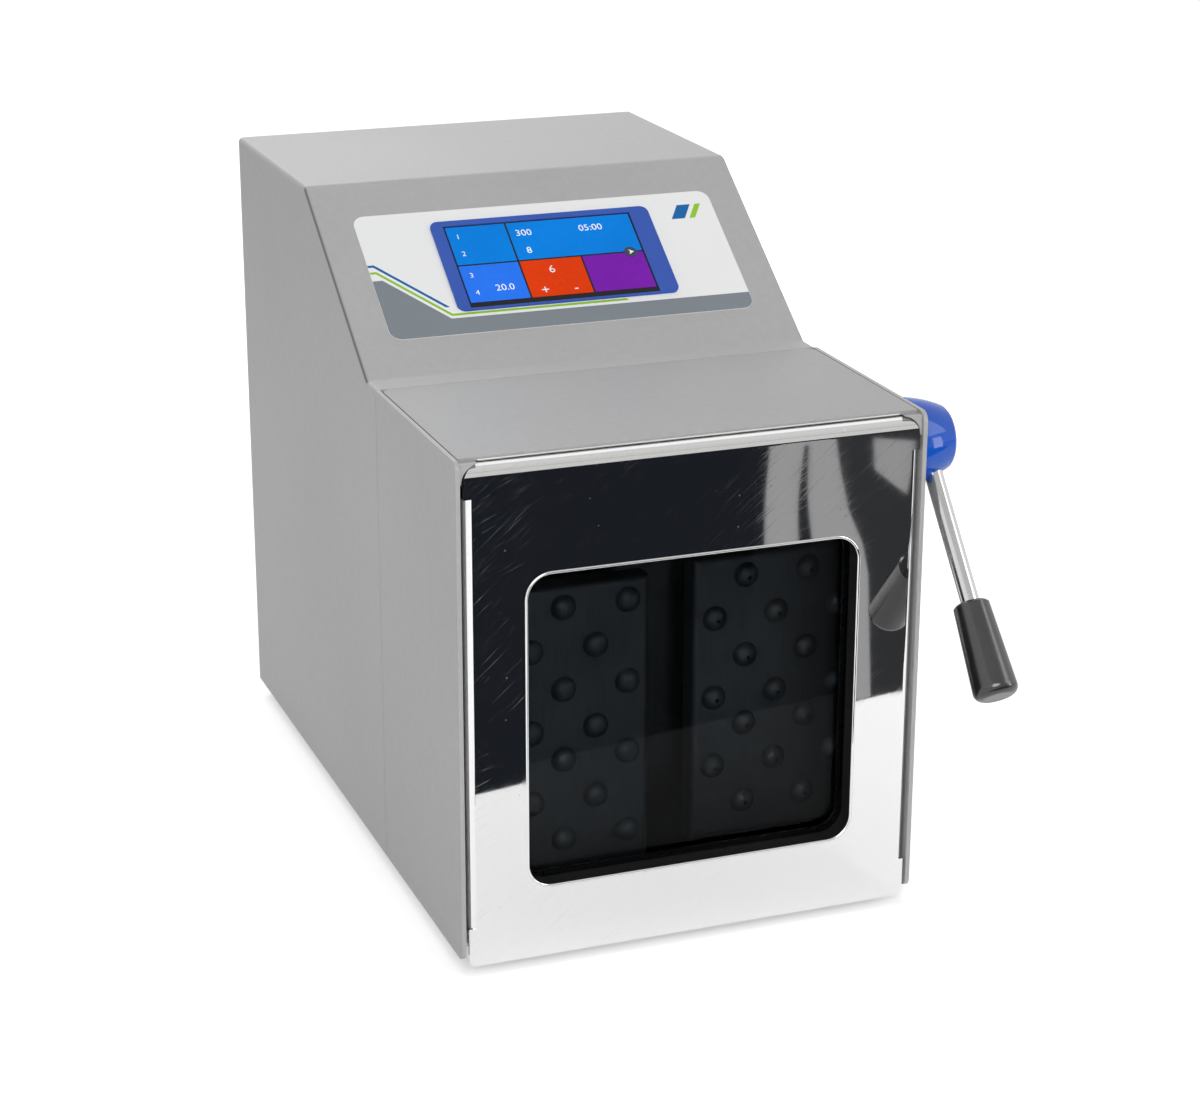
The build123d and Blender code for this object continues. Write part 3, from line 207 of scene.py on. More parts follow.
# Wear on the mirror steel: two sets of slanted scratches and one of upright smears. Each has its stretch,
# its turn, the noise at which it starts to show and shows in full, and its strength.
WEAR = (
    ((38, 900, 1700), (0, 0.72, 0), 0.56, 0.73, 0.6),
    ((60, 900, 2100), (0, 0.42, 0), 0.57, 0.74, 0.5),
    ((260, 900, 16), (0, 0.06, 0), 0.46, 0.75, 0.2),
)


def polished(name, tone, rough, wave):
    """Mirror steel: slow waves, patches of slanted scratches, upright smears and specks of dust."""
    mat, tree, shader = material(name, Metallic=1.0)
    where = coordinates(tree)
    marks = 0.0
    for stretch, turn, start, end, strength in WEAR:
        patch = spread(tree, noise(tree, coordinates(tree, (17, 17, 17), turn), 1, 2), 0, 1, 0.37, 0.6)
        lines = noise(tree, coordinates(tree, stretch, turn), 1, 2)
        mark = maths(tree, "MULTIPLY", spread(tree, lines, 0, strength, start, end), patch)
        marks = maths(tree, "MAXIMUM", mark, marks)
    across = node(tree, "SeparateXYZ", {"Vector": where}).outputs["X"]
    fewer_at_right = spread(tree, across, 1, 0.3, -0.06, 0.04)
    stretched = coordinates(tree, (110, 110, 170), (0, 0.6, 0))
    cells = node(tree, "TexVoronoi", {"Vector": stretched, "Scale": 1.0})
    speck = spread(tree, cells.outputs["Distance"], 0.8, 0, 0.025, 0.06)
    wear = maths(tree, "MAXIMUM", maths(tree, "MULTIPLY", marks, fewer_at_right), speck)
    link(tree, blend(tree, wear, grey(tone), grey(tone * 0.86)), shader, "Base Color")
    link(tree, spread(tree, wear, rough, 0.34, 0, 1), shader, "Roughness")
    bump(tree, shader, noise(tree, where, 16, 0), 1.0, wave)
    return mat


def glossy(name, dark, light, rough, wave, **sockets):
    """Glossy moulded plastic with slight moulding waves and handling marks."""
    mat, tree, shader = material(name, **sockets)
    where = coordinates(tree)
    marks = noise(tree, where, 160, 4, 0.6)
    link(tree, blend(tree, spread(tree, noise(tree, where, 30, 3), 0, 1), dark, light), shader, "Base Color")
    link(tree, spread(tree, marks, *rough), shader, "Roughness")
    bump(tree, shader, noise(tree, where, 220, 2), 0.5, wave)
    return mat


def galvanised():
    mat, tree, shader = material("zinc_sheet", Metallic=1.0)
    where = coordinates(tree)
    cells = node(tree, "TexVoronoi", {"Vector": where, "Scale": 120.0}).outputs["Color"]
    tone = node(tree, "RGBToBW", {"Color": cells}).outputs[0]
    link(tree, blend(tree, tone, grey(0.42, (1, 1, 1.02)), grey(0.6, (1, 1, 1.02))), shader, "Base Color")
    link(tree, spread(tree, tone, 0.32, 0.5, 0, 1), shader, "Roughness")
    bump(tree, shader, noise(tree, where, 900, 2), 0.3, 0.00002)
    return mat


def smoked_pane():
    """Dark clear pane that lets part of the lamps' light through."""
    mat, tree, shader = material("smoked_pane", IOR=1.17, Transmission_Weight=1.0)
    where = coordinates(tree)
    cloud = spread(tree, noise(tree, where, 12, 2), 0, 1)
    tint = blend(tree, cloud, (0.195, 0.22, 0.24, 1), (0.215, 0.235, 0.25, 1))
    link(tree, tint, shader, "Base Color")
    link(tree, spread(tree, noise(tree, where, 45, 3), 0.0, 0.015, 0.45, 0.8), shader, "Roughness")
    clear = node(tree, "BsdfTransparent", {"Color": (0.5, 0.5, 0.5, 1)}).outputs[0]
    shadow = node(tree, "LightPath").outputs["Is Shadow Ray"]
    to_surface(tree, mixed(tree, shadow, shader.outputs[0], clear))
    return mat


def lit(name, colour, glow):
    """A field of the lit screen: its colour shines through a fine pixel grid."""
    mat, tree, shader = material(name, Specular_IOR_Level=0.06, Emission_Strength=glow)
    where = coordinates(tree, turn=(-SLOPE_ANGLE, 0, 0))
    bricks = {"Vector": where, "Scale": 1600.0, "Mortar Size": 0.04, "Bias": -0.2}
    grid = node(tree, "TexBrick", bricks, offset=0.0).outputs["Fac"]
    deep = tuple(c * 0.86 for c in colour) + (1,)
    field = blend(tree, spread(tree, noise(tree, where, 22, 2), 0, 1), deep, colour + (1,))
    shown = blend(tree, spread(tree, grid, 0, 0.3, 0, 1), field, grey(0.004))
    link(tree, shown, shader, "Base Color")
    link(tree, shown, shader, "Emission Color")
    link(tree, spread(tree, noise(tree, where, 300, 2), 0.2, 0.32), shader, "Roughness")
    return mat


def circuit_board():
    mat, tree, shader = material("circuit_board")
    where = coordinates(tree)
    cells = node(tree, "TexVoronoi", {"Vector": where, "Scale": 420.0}, feature="DISTANCE_TO_EDGE")
    tracks = spread(tree, cells.outputs["Distance"], 1, 0, 0.04, 0.07)
    colour = blend(tree, tracks, (0.01, 0.10, 0.045, 1), (0.03, 0.19, 0.08, 1))
    link(tree, colour, shader, "Base Color")
    link(tree, spread(tree, tracks, 0.5, 0.3, 0, 1), shader, "Roughness")
    bump(tree, shader, tracks, 0.5, 0.00003)
    return mat


# ---- Materials by the record's slots ----
FINISHES = {
    "grey_paint": satin_paint("satin_paint", 0.405),
    "polished_steel": polished("mirror_steel", 0.9, 0.028, 0.00035),
    "brushed_steel": brushed("brushed_steel", grey(0.5), grey(0.66), (0.25, 0.4), (25, 1500, 1500)),
    "paddle_steel": brushed("paddle_steel", grey(0.2, (1, 1.02, 1.04)), grey(0.3), (0.4, 0.55),
                            (900, 900, 60)),
    "machined_steel": brushed("turned_steel", grey(0.44), grey(0.58), (0.22, 0.36), (2600, 90, 90)),
    "screw_steel": brushed("plated_steel", grey(0.3), grey(0.42, (1, 1, 1.03)), (0.25, 0.4),
                           (1500, 90, 1500)),
    "galvanised_steel": galvanised(),
    "frame_aluminium": brushed("milled_aluminium", grey(0.52), grey(0.64), (0.3, 0.42), (60, 1300, 700)),
    "bronze": brushed("turned_bronze", (0.42, 0.27, 0.11, 1), (0.58, 0.39, 0.17, 1), (0.25, 0.4),
                      (80, 2200, 80)),
    "motor_paint": grained("motor_paint", grey(0.012), grey(0.022), 900, (0.35, 0.5), 0.00004),
    "black_rubber": grained("black_rubber", grey(0.006), grey(0.011), 700, (0.6, 0.75), 0.00005,
                            Specular_IOR_Level=0.3),
    "smoked_pane": smoked_pane(),
    "blue_gloss": glossy("blue_gloss", (0.006, 0.082, 0.48, 1), (0.008, 0.097, 0.53, 1), (0.03, 0.07),
                         0.000006, Specular_IOR_Level=0.4),
    "black_grip": glossy("black_grip", grey(0.012), grey(0.018), (0.16, 0.26), 0.00002,
                         Specular_IOR_Level=1.0),
    "overlay_film": grained("label_film", grey(0.83, (1, 1.005, 1.012)), grey(0.87), 1700, (0.35, 0.45),
                            0.00001, Specular_IOR_Level=0.3),
    "bezel_blue": glossy("bezel_blue", (0.036, 0.094, 0.42, 1), (0.044, 0.108, 0.47, 1), (0.3, 0.42),
                         0.00001, Specular_IOR_Level=0.15),
    "screen_glass": glossy("screen_black", grey(0.004), grey(0.008), (0.1, 0.2), 0.000004,
                           Specular_IOR_Level=0.2),
    "board_green": circuit_board(),
    "black_plastic": grained("black_plastic", grey(0.012), grey(0.022), 800, (0.4, 0.55), 0.00004),
}
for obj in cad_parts.values():
    for entry in obj.material_slots:
        slot_name = entry.material.name.split(".")[0].lower() if entry.material else ""
        entry.material = FINISHES.get(slot_name, entry.material)

# Three parts that don't look quite like the rest of their slot.
ROD_LEAN = math.radians(40)
OWN_FINISHES = {
    # The hood's paint is darker than the rest as painted shade, for the shade that the rear cover casts on
    # it.
    "hood_panel": satin_paint("hood_paint_painted_shade", 0.345),
    "lever_rod": brushed("rod_steel", grey(0.56), grey(0.72), (0.08, 0.2), (900, 900, 12), (ROD_LEAN, 0, 0)),
    # The liner's steel is darkened as painted shade, for the shade inside the chamber behind the dark pane.
    "chamber_liner": brushed("liner_painted_shade", grey(0.07), grey(0.11), (0.16, 0.26), (25, 1500, 1500)),
}
for name, finish in OWN_FINISHES.items():
    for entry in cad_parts[name].material_slots:
        entry.material = finish

# ---- Camera, where the photo was taken from ----
AZIMUTH, ELEVATION, ROLL = math.radians(-20.683), math.radians(19.258), math.radians(0.147)
TARGET = (-45.3, 0, 191.5)  # what it looks at, in millimetres
DISTANCE = 1.2243  # from there, in metres
SENSOR, LENS = 36.0, 85.38  # the sensor's width and the focal length, in millimetres

scene = bpy.context.scene
back = Vector((
    math.sin(AZIMUTH) * math.cos(ELEVATION),
    -math.cos(AZIMUTH) * math.cos(ELEVATION),
    math.sin(ELEVATION),
))
flat_right = Vector((math.cos(AZIMUTH), math.sin(AZIMUTH), 0))
flat_up = back.cross(flat_right)
right = flat_right * math.cos(ROLL) + flat_up * math.sin(ROLL)
up = flat_up * math.cos(ROLL) - flat_right * math.sin(ROLL)
axes = Matrix((right, up, back)).transposed().to_4x4()
camera = bpy.data.objects.new("camera", bpy.data.cameras.new("camera"))
scene.collection.objects.link(camera)
camera.data.sensor_fit = "HORIZONTAL"
camera.data.sensor_width = SENSOR
camera.data.lens = LENS
camera.matrix_world = Matrix.Translation(point(*TARGET) + back * DISTANCE) @ axes
scene.camera = camera

# ---- Light, floor and what the mirror steel sees ----
WORLD_LIGHT = 0.44  # what lights the object. The camera, gloss and glass see white instead.
FLOOR_TO_CAMERA, FLOOR_TO_GLOSS = 0.42, 0.26  # the floor's own glow, on top of its paper
# Further off the floor turns to a plain glow, first for the camera and then for gloss: its strength, and how
# many metres from the frame's origin the change starts and is complete.
FLOOR_FADES = ((1.0, 1.4, 2.3), (0.6, 0.75, 1.8))

scene.view_settings.view_transform = "Standard"


def seen(tree):
    """1 for rays from the camera, from gloss or through glass, and 0 for the ones that light the object."""
    path = node(tree, "LightPath").outputs
    some = maths(tree, "MAXIMUM", path["Is Camera Ray"], path["Is Glossy Ray"])
    return maths(tree, "MAXIMUM", some, path["Is Transmission Ray"])


def mirrored(tree, strength):
    """A glow that is dimmer in what the mirror steel shows of other glossy things."""
    bounces = node(tree, "LightPath").outputs["Glossy Depth"]
    return spread(tree, bounces, strength, strength * 0.25, 1, 2)


world = bpy.data.worlds.new("studio")
scene.world = world
world.use_nodes = True
sky = world.node_tree
ambient = sky.nodes["Background"]
ambient.inputs["Color"].default_value = grey(1.0)
ambient.inputs["Strength"].default_value = WORLD_LIGHT
white = node(sky, "Background", {"Color": grey(1.0), "Strength": mirrored(sky, 1.0)})
sky_shown = mixed(sky, seen(sky), ambient.outputs[0], white.outputs[0])
sky.links.new(sky_shown, sky.nodes["World Output"].inputs["Surface"])


def sheet_mesh(name, corners):
    """A flat card through corners given in millimetres."""
    mesh = bpy.data.meshes.new(name)
    mesh.from_pydata([point(*corner) for corner in corners], [], [range(len(corners))])
    card = bpy.data.objects.new(name, mesh)
    scene.collection.objects.link(card)
    return card


def studio_paper():
    """White paper under the lamps, which also glows where the camera, gloss or glass looks at it."""
    mat, tree, shader = material("studio_paper", Roughness=0.9)
    fibre = noise(tree, coordinates(tree), 300, 3)
    link(tree, blend(tree, spread(tree, fibre, 0, 1), grey(0.84), grey(0.86)), shader, "Base Color")
    path = node(tree, "LightPath").outputs
    to_camera = emission(tree, grey(1.0), FLOOR_TO_CAMERA)
    to_gloss = emission(tree, grey(1.0), mirrored(tree, FLOOR_TO_GLOSS))
    glow = mixed(tree, path["Is Camera Ray"], to_gloss, to_camera)
    near = node(tree, "AddShader", {0: shader.outputs[0], 1: glow}).outputs[0]
    away = node(tree, "VectorMath", {0: coordinates(tree)}, operation="LENGTH").outputs["Value"]
    fades = []
    for strength, start, end in FLOOR_FADES:
        distant = emission(tree, grey(1.0), mirrored(tree, strength))
        fades.append(mixed(tree, spread(tree, away, 0, 1, start, end), near, distant))
    looked_at = mixed(tree, path["Is Glossy Ray"], *fades)
    to_surface(tree, mixed(tree, seen(tree), shader.outputs[0], looked_at))
    return mat


def lying(height, outline):
    """A card that lies flat at a height."""
    return [(x, y, height) for x, y in outline]


floor = sheet_mesh("floor", lying(0, [(-5000, -5000), (5000, -5000), (5000, 5000), (-5000, 5000)]))
floor.data.materials.append(studio_paper())


def card_material(name, tone):
    mat = bpy.data.materials.new(name)
    mat.use_nodes = True
    tree = mat.node_tree
    to_surface(tree, emission(tree, tone, mirrored(tree, 1.0)))
    return mat


def standing(x, y, z, width, height, heading):
    """A card that stands with its middle at a point, and faces along a heading in degrees from +X."""
    run = Vector((-math.sin(math.radians(heading)), math.cos(math.radians(heading)), 0)) * width / 2
    low, high = z - height / 2, z + height / 2
    return [(x - run.x, y - run.y, low), (x + run.x, y + run.y, low),
            (x + run.x, y + run.y, high), (x - run.x, y - run.y, high)]


# Cards that only gloss sees: the dark room beyond the white floor, with pale, dim and dark strips in it, and
# behind it a pale wall with a grey rail, a ceiling and a bright window. Where cards on the floor overlap,
# the higher one is seen.
CARDS = {
    "room_card": ((0.011, 0.013, 0.017, 1), lying(1.0, [
        (-80, -178), (-49, -184), (214, -230), (1100, -391), (1600, -2500), (650, -2500), (60, -665),
    ])),
    "pale_strip_card": ((0.33, 0.33, 0.335, 1), lying(2.0, [
        (332, -659), (247, -473), (180, -330), (153, -219), (202, -228), (267, -367),
        (294, -425), (314, -475), (334, -538), (359, -599), (386, -662), (640, -1250), (590, -1250),
    ])),
    "small_pale_card": ((0.31, 0.31, 0.315, 1), lying(2.0, [
        (416, -664), (441, -654), (383, -554), (385, -602),
    ])),
    "thin_dark_card": ((0.012, 0.013, 0.016, 1), lying(3.0, [
        (361, -663), (364, -662), (281, -473), (272, -473),
    ])),
    "dim_room_card": ((0.03, 0.031, 0.033, 1), lying(1.5, [
        (202, -228), (214, -230), (1100, -391), (1600, -2500), (1250, -2500), (640, -1250), (386, -662),
        (359, -599), (334, -538), (314, -475), (294, -425), (267, -367),
    ])),
    "wall_card": ((0.62, 0.62, 0.61, 1), standing(300, -2600, 3000, 5200, 6000, 90)),
    "rail_card": ((0.3, 0.3, 0.3, 1), standing(300, -2590, 1700, 5200, 170, 90)),
    "ceiling_card": ((0.66, 0.66, 0.65, 1), lying(3600, [
        (-2600, -3000), (3000, -3000), (3000, -300), (-2600, -300),
    ])),
    "window_card": ((5.0, 5.0, 5.0, 1), standing(918, -585, 230, 190, 380, 150)),
}
for name, (tone, corners) in CARDS.items():
    card = sheet_mesh(name, corners)
    card.data.materials.append(card_material(name, tone))
    card.visible_camera = False
    card.visible_diffuse = False
    card.visible_shadow = False
    card.visible_transmission = False
    card.visible_volume_scatter = False


def lamp(name, place, aim, size, power):
    """A lamp at a place, aimed at another, with its width and height, all in metres, and its watts."""
    light = bpy.data.lights.new(name, "AREA")
    light.shape = "RECTANGLE"
    light.size, light.size_y = size
    light.energy = power
    obj = bpy.data.objects.new(name, light)
    scene.collection.objects.link(obj)
    obj.location = place
    obj.rotation_euler = (Vector(aim) - Vector(place)).to_track_quat("-Z", "Y").to_euler()


lamp("key", (-0.1, 1.9, 1.8), (0, 0.05, 0.3), (1.4, 0.9), 24)
lamp("fill", (-0.75, -2.4, 1.4), (0, 0, 0.15), (1.6, 1.4), 34)
lamp("side", (1.9, -1.3, 1.5), (0, 0, 0.15), (1.2, 1.2), 10)

# ---- Helpers for pieces ----


def finished(name, mesh, mat, body, smooth=False):
    """A mesh as a piece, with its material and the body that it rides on."""
    obj = bpy.data.objects.new(name, mesh)
    scene.collection.objects.link(obj)
    if smooth:
        for face in mesh.polygons:
            face.use_smooth = True
    mesh.materials.append(mat)
    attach(obj, body)
    return obj


def circle(x, y, radius, sides):
    angles = [math.tau * i / sides for i in range(sides)]
    return [(x + radius * math.cos(a), y + radius * math.sin(a)) for a in angles]


def arc(x, y, radius, start, end, steps):
    """Points along part of a circle, from one angle to another in degrees."""
    angles = [math.radians(start + (end - start) * i / steps) for i in range(steps + 1)]
    return [(x + radius * math.cos(a), y + radius * math.sin(a)) for a in angles]


def rounded(width, height, radius, steps):
    """The outline of a rounded rectangle about the origin."""
    points = []
    for sx, sy, start in ((1, 1, 0), (-1, 1, 90), (-1, -1, 180), (1, -1, 270)):
        x, y = sx * (width / 2 - radius), sy * (height / 2 - radius)
        points += arc(x, y, radius, start, start + 90, steps)
    return points


def slab(name, outline, low, high, to_place, edge):
    """A thin plate: an outline pushed from low to high, with a broken edge round the high side."""
    mesh = bpy.data.meshes.new(name)
    form = bmesh.new()
    bottom = [form.verts.new(to_place(x, y, low)) for x, y in outline]
    form.faces.new(bottom)
    made = bmesh.ops.extrude_face_region(form, geom=list(form.faces))
    lift = to_place(0, 0, high) - to_place(0, 0, low)
    tops = [e for e in made["geom"] if isinstance(e, bmesh.types.BMVert)]
    bmesh.ops.translate(form, verts=tops, vec=lift)
    bmesh.ops.recalc_face_normals(form, faces=form.faces)
    rim = [e for e in form.edges if e.verts[0] in tops and e.verts[1] in tops]
    bmesh.ops.bevel(form, geom=rim, offset=edge * MM, segments=2, affect="EDGES")
    form.to_mesh(mesh)
    form.free()
    return mesh


def tube(name, path, radius, sides=10):
    """A round bead along a closed path of places in metres."""
    mesh = bpy.data.meshes.new(name)
    form = bmesh.new()
    count = len(path)
    middle = sum(path, Vector()) / count
    rings = []
    for i, place in enumerate(path):
        ahead = (path[(i + 1) % count] - path[i - 1]).normalized()
        out = (place - middle) - ahead * (place - middle).dot(ahead)
        out.normalize()
        side = ahead.cross(out)
        loop = []
        for k in range(sides):
            a = math.tau * k / sides
            loop.append(form.verts.new(place + (out * math.cos(a) + side * math.sin(a)) * radius))
        rings.append(loop)
    for i in range(count):
        first, second = rings[i], rings[(i + 1) % count]
        for k in range(sides):
            form.faces.new((first[k], first[(k + 1) % sides], second[(k + 1) % sides], second[k]))
    bmesh.ops.recalc_face_normals(form, faces=form.faces)
    form.to_mesh(mesh)
    form.free()
    return mesh


# ---- Trim on the front ----

# Bright bead round the door's window.
WINDOW = {"width": 158.0, "height": 148.5, "corner": 11.5, "middle": 112.25}
RIM = {"radius": 0.8, "smaller": 0.6, "y": 0.9}
rim_size = (WINDOW["width"] - RIM["smaller"], WINDOW["height"] - RIM["smaller"])
rim_outline = rounded(*rim_size, WINDOW["corner"], 10)
rim_path = [point(x, RIM["y"], z + WINDOW["middle"]) for x, z in rim_outline]
rim_mesh = tube("window_rim", rim_path, RIM["radius"] * MM)
finished("window_rim", rim_mesh, FINISHES["polished_steel"], "door", smooth=True)

# Bright bead along the hood's front edge, a little in front of it. It sits clear of the door's roll, which
# passes under it.
BEAD = {"radius": 0.45, "reach": 98.5, "forward": 0.1, "rise": 0.6}
BEAD_STEEL = brushed("bead_steel", grey(0.86), grey(0.95), (0.3, 0.4), (12, 900, 900))
bead_y = (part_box("hood_panel")[0].y - origin.y) / MM - BEAD["forward"]
bead_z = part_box("door_panel")[1].z / MM + BEAD["rise"]
bead_outline = circle(bead_y, bead_z, BEAD["radius"], 24)
bead_mesh = slab("hood_bead", bead_outline, -BEAD["reach"], BEAD["reach"],
                 lambda y, z, x: point(x, y, z), 0.15)
finished("hood_bead", bead_mesh, BEAD_STEEL, "housing")

# Painted webs that fill the front's upper corners round the door. Their inner edge is an arc about their
# lower inner corner, and top_start is how far out from that corner their top edge starts.
WEB = {"x": (98.0, 107.9), "y": (1.2, 9.0), "z": (229.5, 238.5), "radius": 9.1, "top_start": 1.6}


def corner_web(side):
    (x0, x1), (z0, z1) = WEB["x"], WEB["z"]
    curve = [(x, z) for x, z in arc(x0, z0, WEB["radius"], 0, 90, 12) if z < z1]
    outline = [(side * x, z) for x, z in curve + [(x0 + WEB["top_start"], z1), (x1, z1), (x1, z0)]]
    return slab("corner_web", outline, WEB["y"][1], WEB["y"][0], lambda x, z, y: point(x, y, z), 0.2)


for name, side in (("left_corner_web", -1), ("right_corner_web", 1)):
    finished(name, corner_web(side), FINISHES["grey_paint"], "housing")

# ---- Screw heads with a cross or a hexagon, in the place and size of the CAD's plain ones ----

# The recesses, as parts of a head's height and radius: the cross's lower and upper end, each with its half
# length and half width, and the hexagon's radius, lower and upper end.
CROSS = ((0.35, 0.25, 0.1), (1.2, 0.62, 0.16))
HEXAGON = (0.5, 0.3, 1.2)
BLOCK_FACES = ((0, 1, 2, 3), (4, 5, 6, 7), (0, 1, 5, 4), (1, 2, 6, 5), (2, 3, 7, 6), (3, 0, 4, 7))
# How the crosses are turned, in radians: the first one, and each one more than the one before.
FIRST_SPIN, NEXT_SPIN = 0.3, 0.7
# How far a shank ends before the CAD's, and starts under its head, in metres.
SHANK_SHORT, SHANK_CLEAR = 0.0002, 0.00001


def solids(name):
    """The lowest and highest corner of each separate solid of a CAD node, in the order of its mesh."""
    form = bmesh.new()
    form.from_mesh(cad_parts[name].data)
    bmesh.ops.remove_doubles(form, verts=form.verts, dist=0.00001)
    left, boxes = set(form.verts), []
    for start in form.verts:
        if start not in left:
            continue
        left.remove(start)
        island, newest = [start], [start]
        while newest:
            near = {edge.other_vert(vert) for vert in newest for edge in vert.link_edges} & left
            left -= near
            island += near
            newest = near
        low = Vector([min(v.co[i] for v in island) for i in range(3)])
        high = Vector([max(v.co[i] for v in island) for i in range(3)])
        boxes.append((low, high))
    form.free()
    return boxes


def head(form, radius, height, crown, sides=28):
    """A low domed head on z = 0, closed below, as rings of its turned outline."""
    wall, dome = height * 0.35, height * 0.65
    outline = [(radius, 0), (radius, wall)]
    for i in range(1, 7):
        a = math.radians(90 * i / 6)
        outline.append((radius - crown * (1 - math.cos(a)), wall + dome * math.sin(a)))
    rings = [[form.verts.new((x, y, z)) for x, y in circle(0, 0, r, sides)] for r, z in outline]
    for low, high in zip(rings, rings[1:]):
        for k in range(sides):
            form.faces.new((low[k], low[(k + 1) % sides], high[(k + 1) % sides], high[k]))
    form.faces.new(rings[0][::-1])
    form.faces.new(rings[-1])


def cutter(kind, radius, height):
    """What is sunk into a head: a tapered cross, or a hexagon."""
    form = bmesh.new()
    if kind == "cross":
        for flip in (0, 1):
            corners = []
            for rise, long, wide in CROSS:
                for sx, sy in ((-1, -1), (1, -1), (1, 1), (-1, 1)):
                    x, y, z = sx * long * radius, sy * wide * radius, rise * height
                    corners.append(form.verts.new((y, x, z) if flip else (x, y, z)))
            for loop in BLOCK_FACES:
                form.faces.new([corners[i] for i in loop])
    else:
        reach, low, high = HEXAGON
        outline = circle(0, 0, reach * radius, 6)
        lows = [form.verts.new((x, y, low * height)) for x, y in outline]
        highs = [form.verts.new((x, y, high * height)) for x, y in outline]
        form.faces.new(lows)
        form.faces.new(highs)
        for k in range(6):
            form.faces.new((lows[k], lows[(k + 1) % 6], highs[(k + 1) % 6], highs[k]))
    bmesh.ops.recalc_face_normals(form, faces=form.faces)
    mesh = bpy.data.meshes.new("cutter")
    form.to_mesh(mesh)
    form.free()
    return bpy.data.objects.new("cutter", mesh)


def screws(name, node_name, facing, head_height, kind, body):
    """One mesh for a group of screws: heads with their recess, and shanks into the sheet."""
    whole = bmesh.new()
    aim = Vector(facing)
    axis = max(range(3), key=lambda i: abs(aim[i]))
    for index, (low, high) in enumerate(solids(node_name)):
        middle = (low + high) / 2
        tip = high[axis] if aim[axis] > 0 else low[axis]
        radius = max((high[i] - low[i]) / 2 for i in range(3) if i != axis)
        seat = middle.copy()
        seat[axis] = tip - aim[axis] * head_height
        form = bmesh.new()
        head(form, radius, head_height, radius * 0.45)
        shank = high[axis] - low[axis] - head_height - SHANK_SHORT
        bmesh.ops.create_cone(form, cap_ends=True, segments=20, radius1=radius * 0.45, radius2=radius * 0.5,
                              depth=shank, matrix=Matrix.Translation((0, 0, -shank / 2 - SHANK_CLEAR)))
        blank = bpy.data.meshes.new("blank")
        form.to_mesh(blank)
        form.free()
        temp = bpy.data.objects.new("blank", blank)
        tool = cutter(kind, radius, head_height)
        for obj in (temp, tool):
            scene.collection.objects.link(obj)
        cut = temp.modifiers.new("recess", "BOOLEAN")
        cut.operation = "DIFFERENCE"
        cut.solver = "EXACT"
        cut.use_self = True
        cut.object = tool
        made = bpy.data.meshes.new_from_object(temp.evaluated_get(bpy.context.evaluated_depsgraph_get()))
        for obj in (temp, tool):
            bpy.data.objects.remove(obj)
        spin = Matrix.Rotation(NEXT_SPIN * index + FIRST_SPIN, 4, "Z")
        made.transform(Matrix.Translation(seat) @ aim.to_track_quat("Z", "Y").to_matrix().to_4x4() @ spin)
        whole.from_mesh(made)
    mesh = bpy.data.meshes.new(name)
    whole.to_mesh(mesh)
    whole.free()
    obj = finished(name, mesh, FINISHES["screw_steel"], body)
    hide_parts(node_name)


screws("cover_screw_heads", "cover_screws", (0, 1, 0), 0.002, "cross", "housing")
screws("inlet_screw_heads", "inlet_screws", (0, 1, 0), 0.002, "cross", "housing")
screws("liner_screw_heads", "liner_screws", (0, 1, 0), 0.0014, "cross", "door")
screws("hub_screw_head", "hub_screw", (1, 0, 0), 0.002, "hexagon", "latch")

# ---- Screen: five lit fields, plain signs and a round key on the dark glass ----
# Heights out of the slope, in millimetres. The signs' one is the middle of their thickness.
GLASS_TOP = 1.1
FIELD_TOP = GLASS_TOP + 0.1
KEY_TOP = GLASS_TOP + 0.2
ARROW_TOP = GLASS_TOP + 0.26
SIGN_MIDDLE = GLASS_TOP + 0.12
FIELD_GLOW, SIGN_GLOW = 0.31, 0.3
INK_WHITE = lit("ink_white", (0.85, 0.87, 0.9), SIGN_GLOW)
INK_DARK = glossy("ink_dark", (0.01, 0.02, 0.05, 1), (0.015, 0.03, 0.07, 1), (0.15, 0.25), 0.000004)

# Each field's colour, and its left, right, lower and upper edge on the slope.
FIELDS = {
    "field_azure_left": ((0.0, 0.20, 0.70), (-48.4, -18.5, 65.0, 89.2)),
    "field_azure_right": ((0.0, 0.20, 0.70), (-17.6, 45.9, 65.0, 89.2)),
    "field_blue": ((0.02, 0.17, 0.83), (-48.4, -18.5, 40.9, 64.1)),
    "field_orange": ((0.70, 0.042, 0.001), (-17.6, 13.6, 40.9, 64.1)),
    "field_purple": ((0.18, 0.012, 0.38), (14.5, 45.9, 40.9, 64.1)),
}
for name, (colour, (x0, x1, s0, s1)) in FIELDS.items():
    outline = [(x + (x0 + x1) / 2, s + (s0 + s1) / 2) for x, s in rounded(x1 - x0, s1 - s0, 0.4, 3)]
    field_mesh = slab(name, outline, GLASS_TOP, FIELD_TOP, slope_point, 0.03)
    finished(name, field_mesh, lit(name, colour, FIELD_GLOW), "housing")


def sign(name, words, height, x, s):
    """A plain number or sign in white, from its lower left corner on the screen."""
    curve = bpy.data.curves.new(name, "FONT")
    curve.body = words
    curve.size = height
    curve.extrude = 0.03
    curve.resolution_u = 3
    temp = bpy.data.objects.new(name + "_curve", curve)
    mesh = bpy.data.meshes.new_from_object(temp)
    bpy.data.objects.remove(temp)
    for v in mesh.vertices:
        v.co = slope_point(x + v.co.x, s + v.co.y, SIGN_MIDDLE + v.co.z)
    mesh.name = name
    finished(name, mesh, INK_WHITE, "housing")


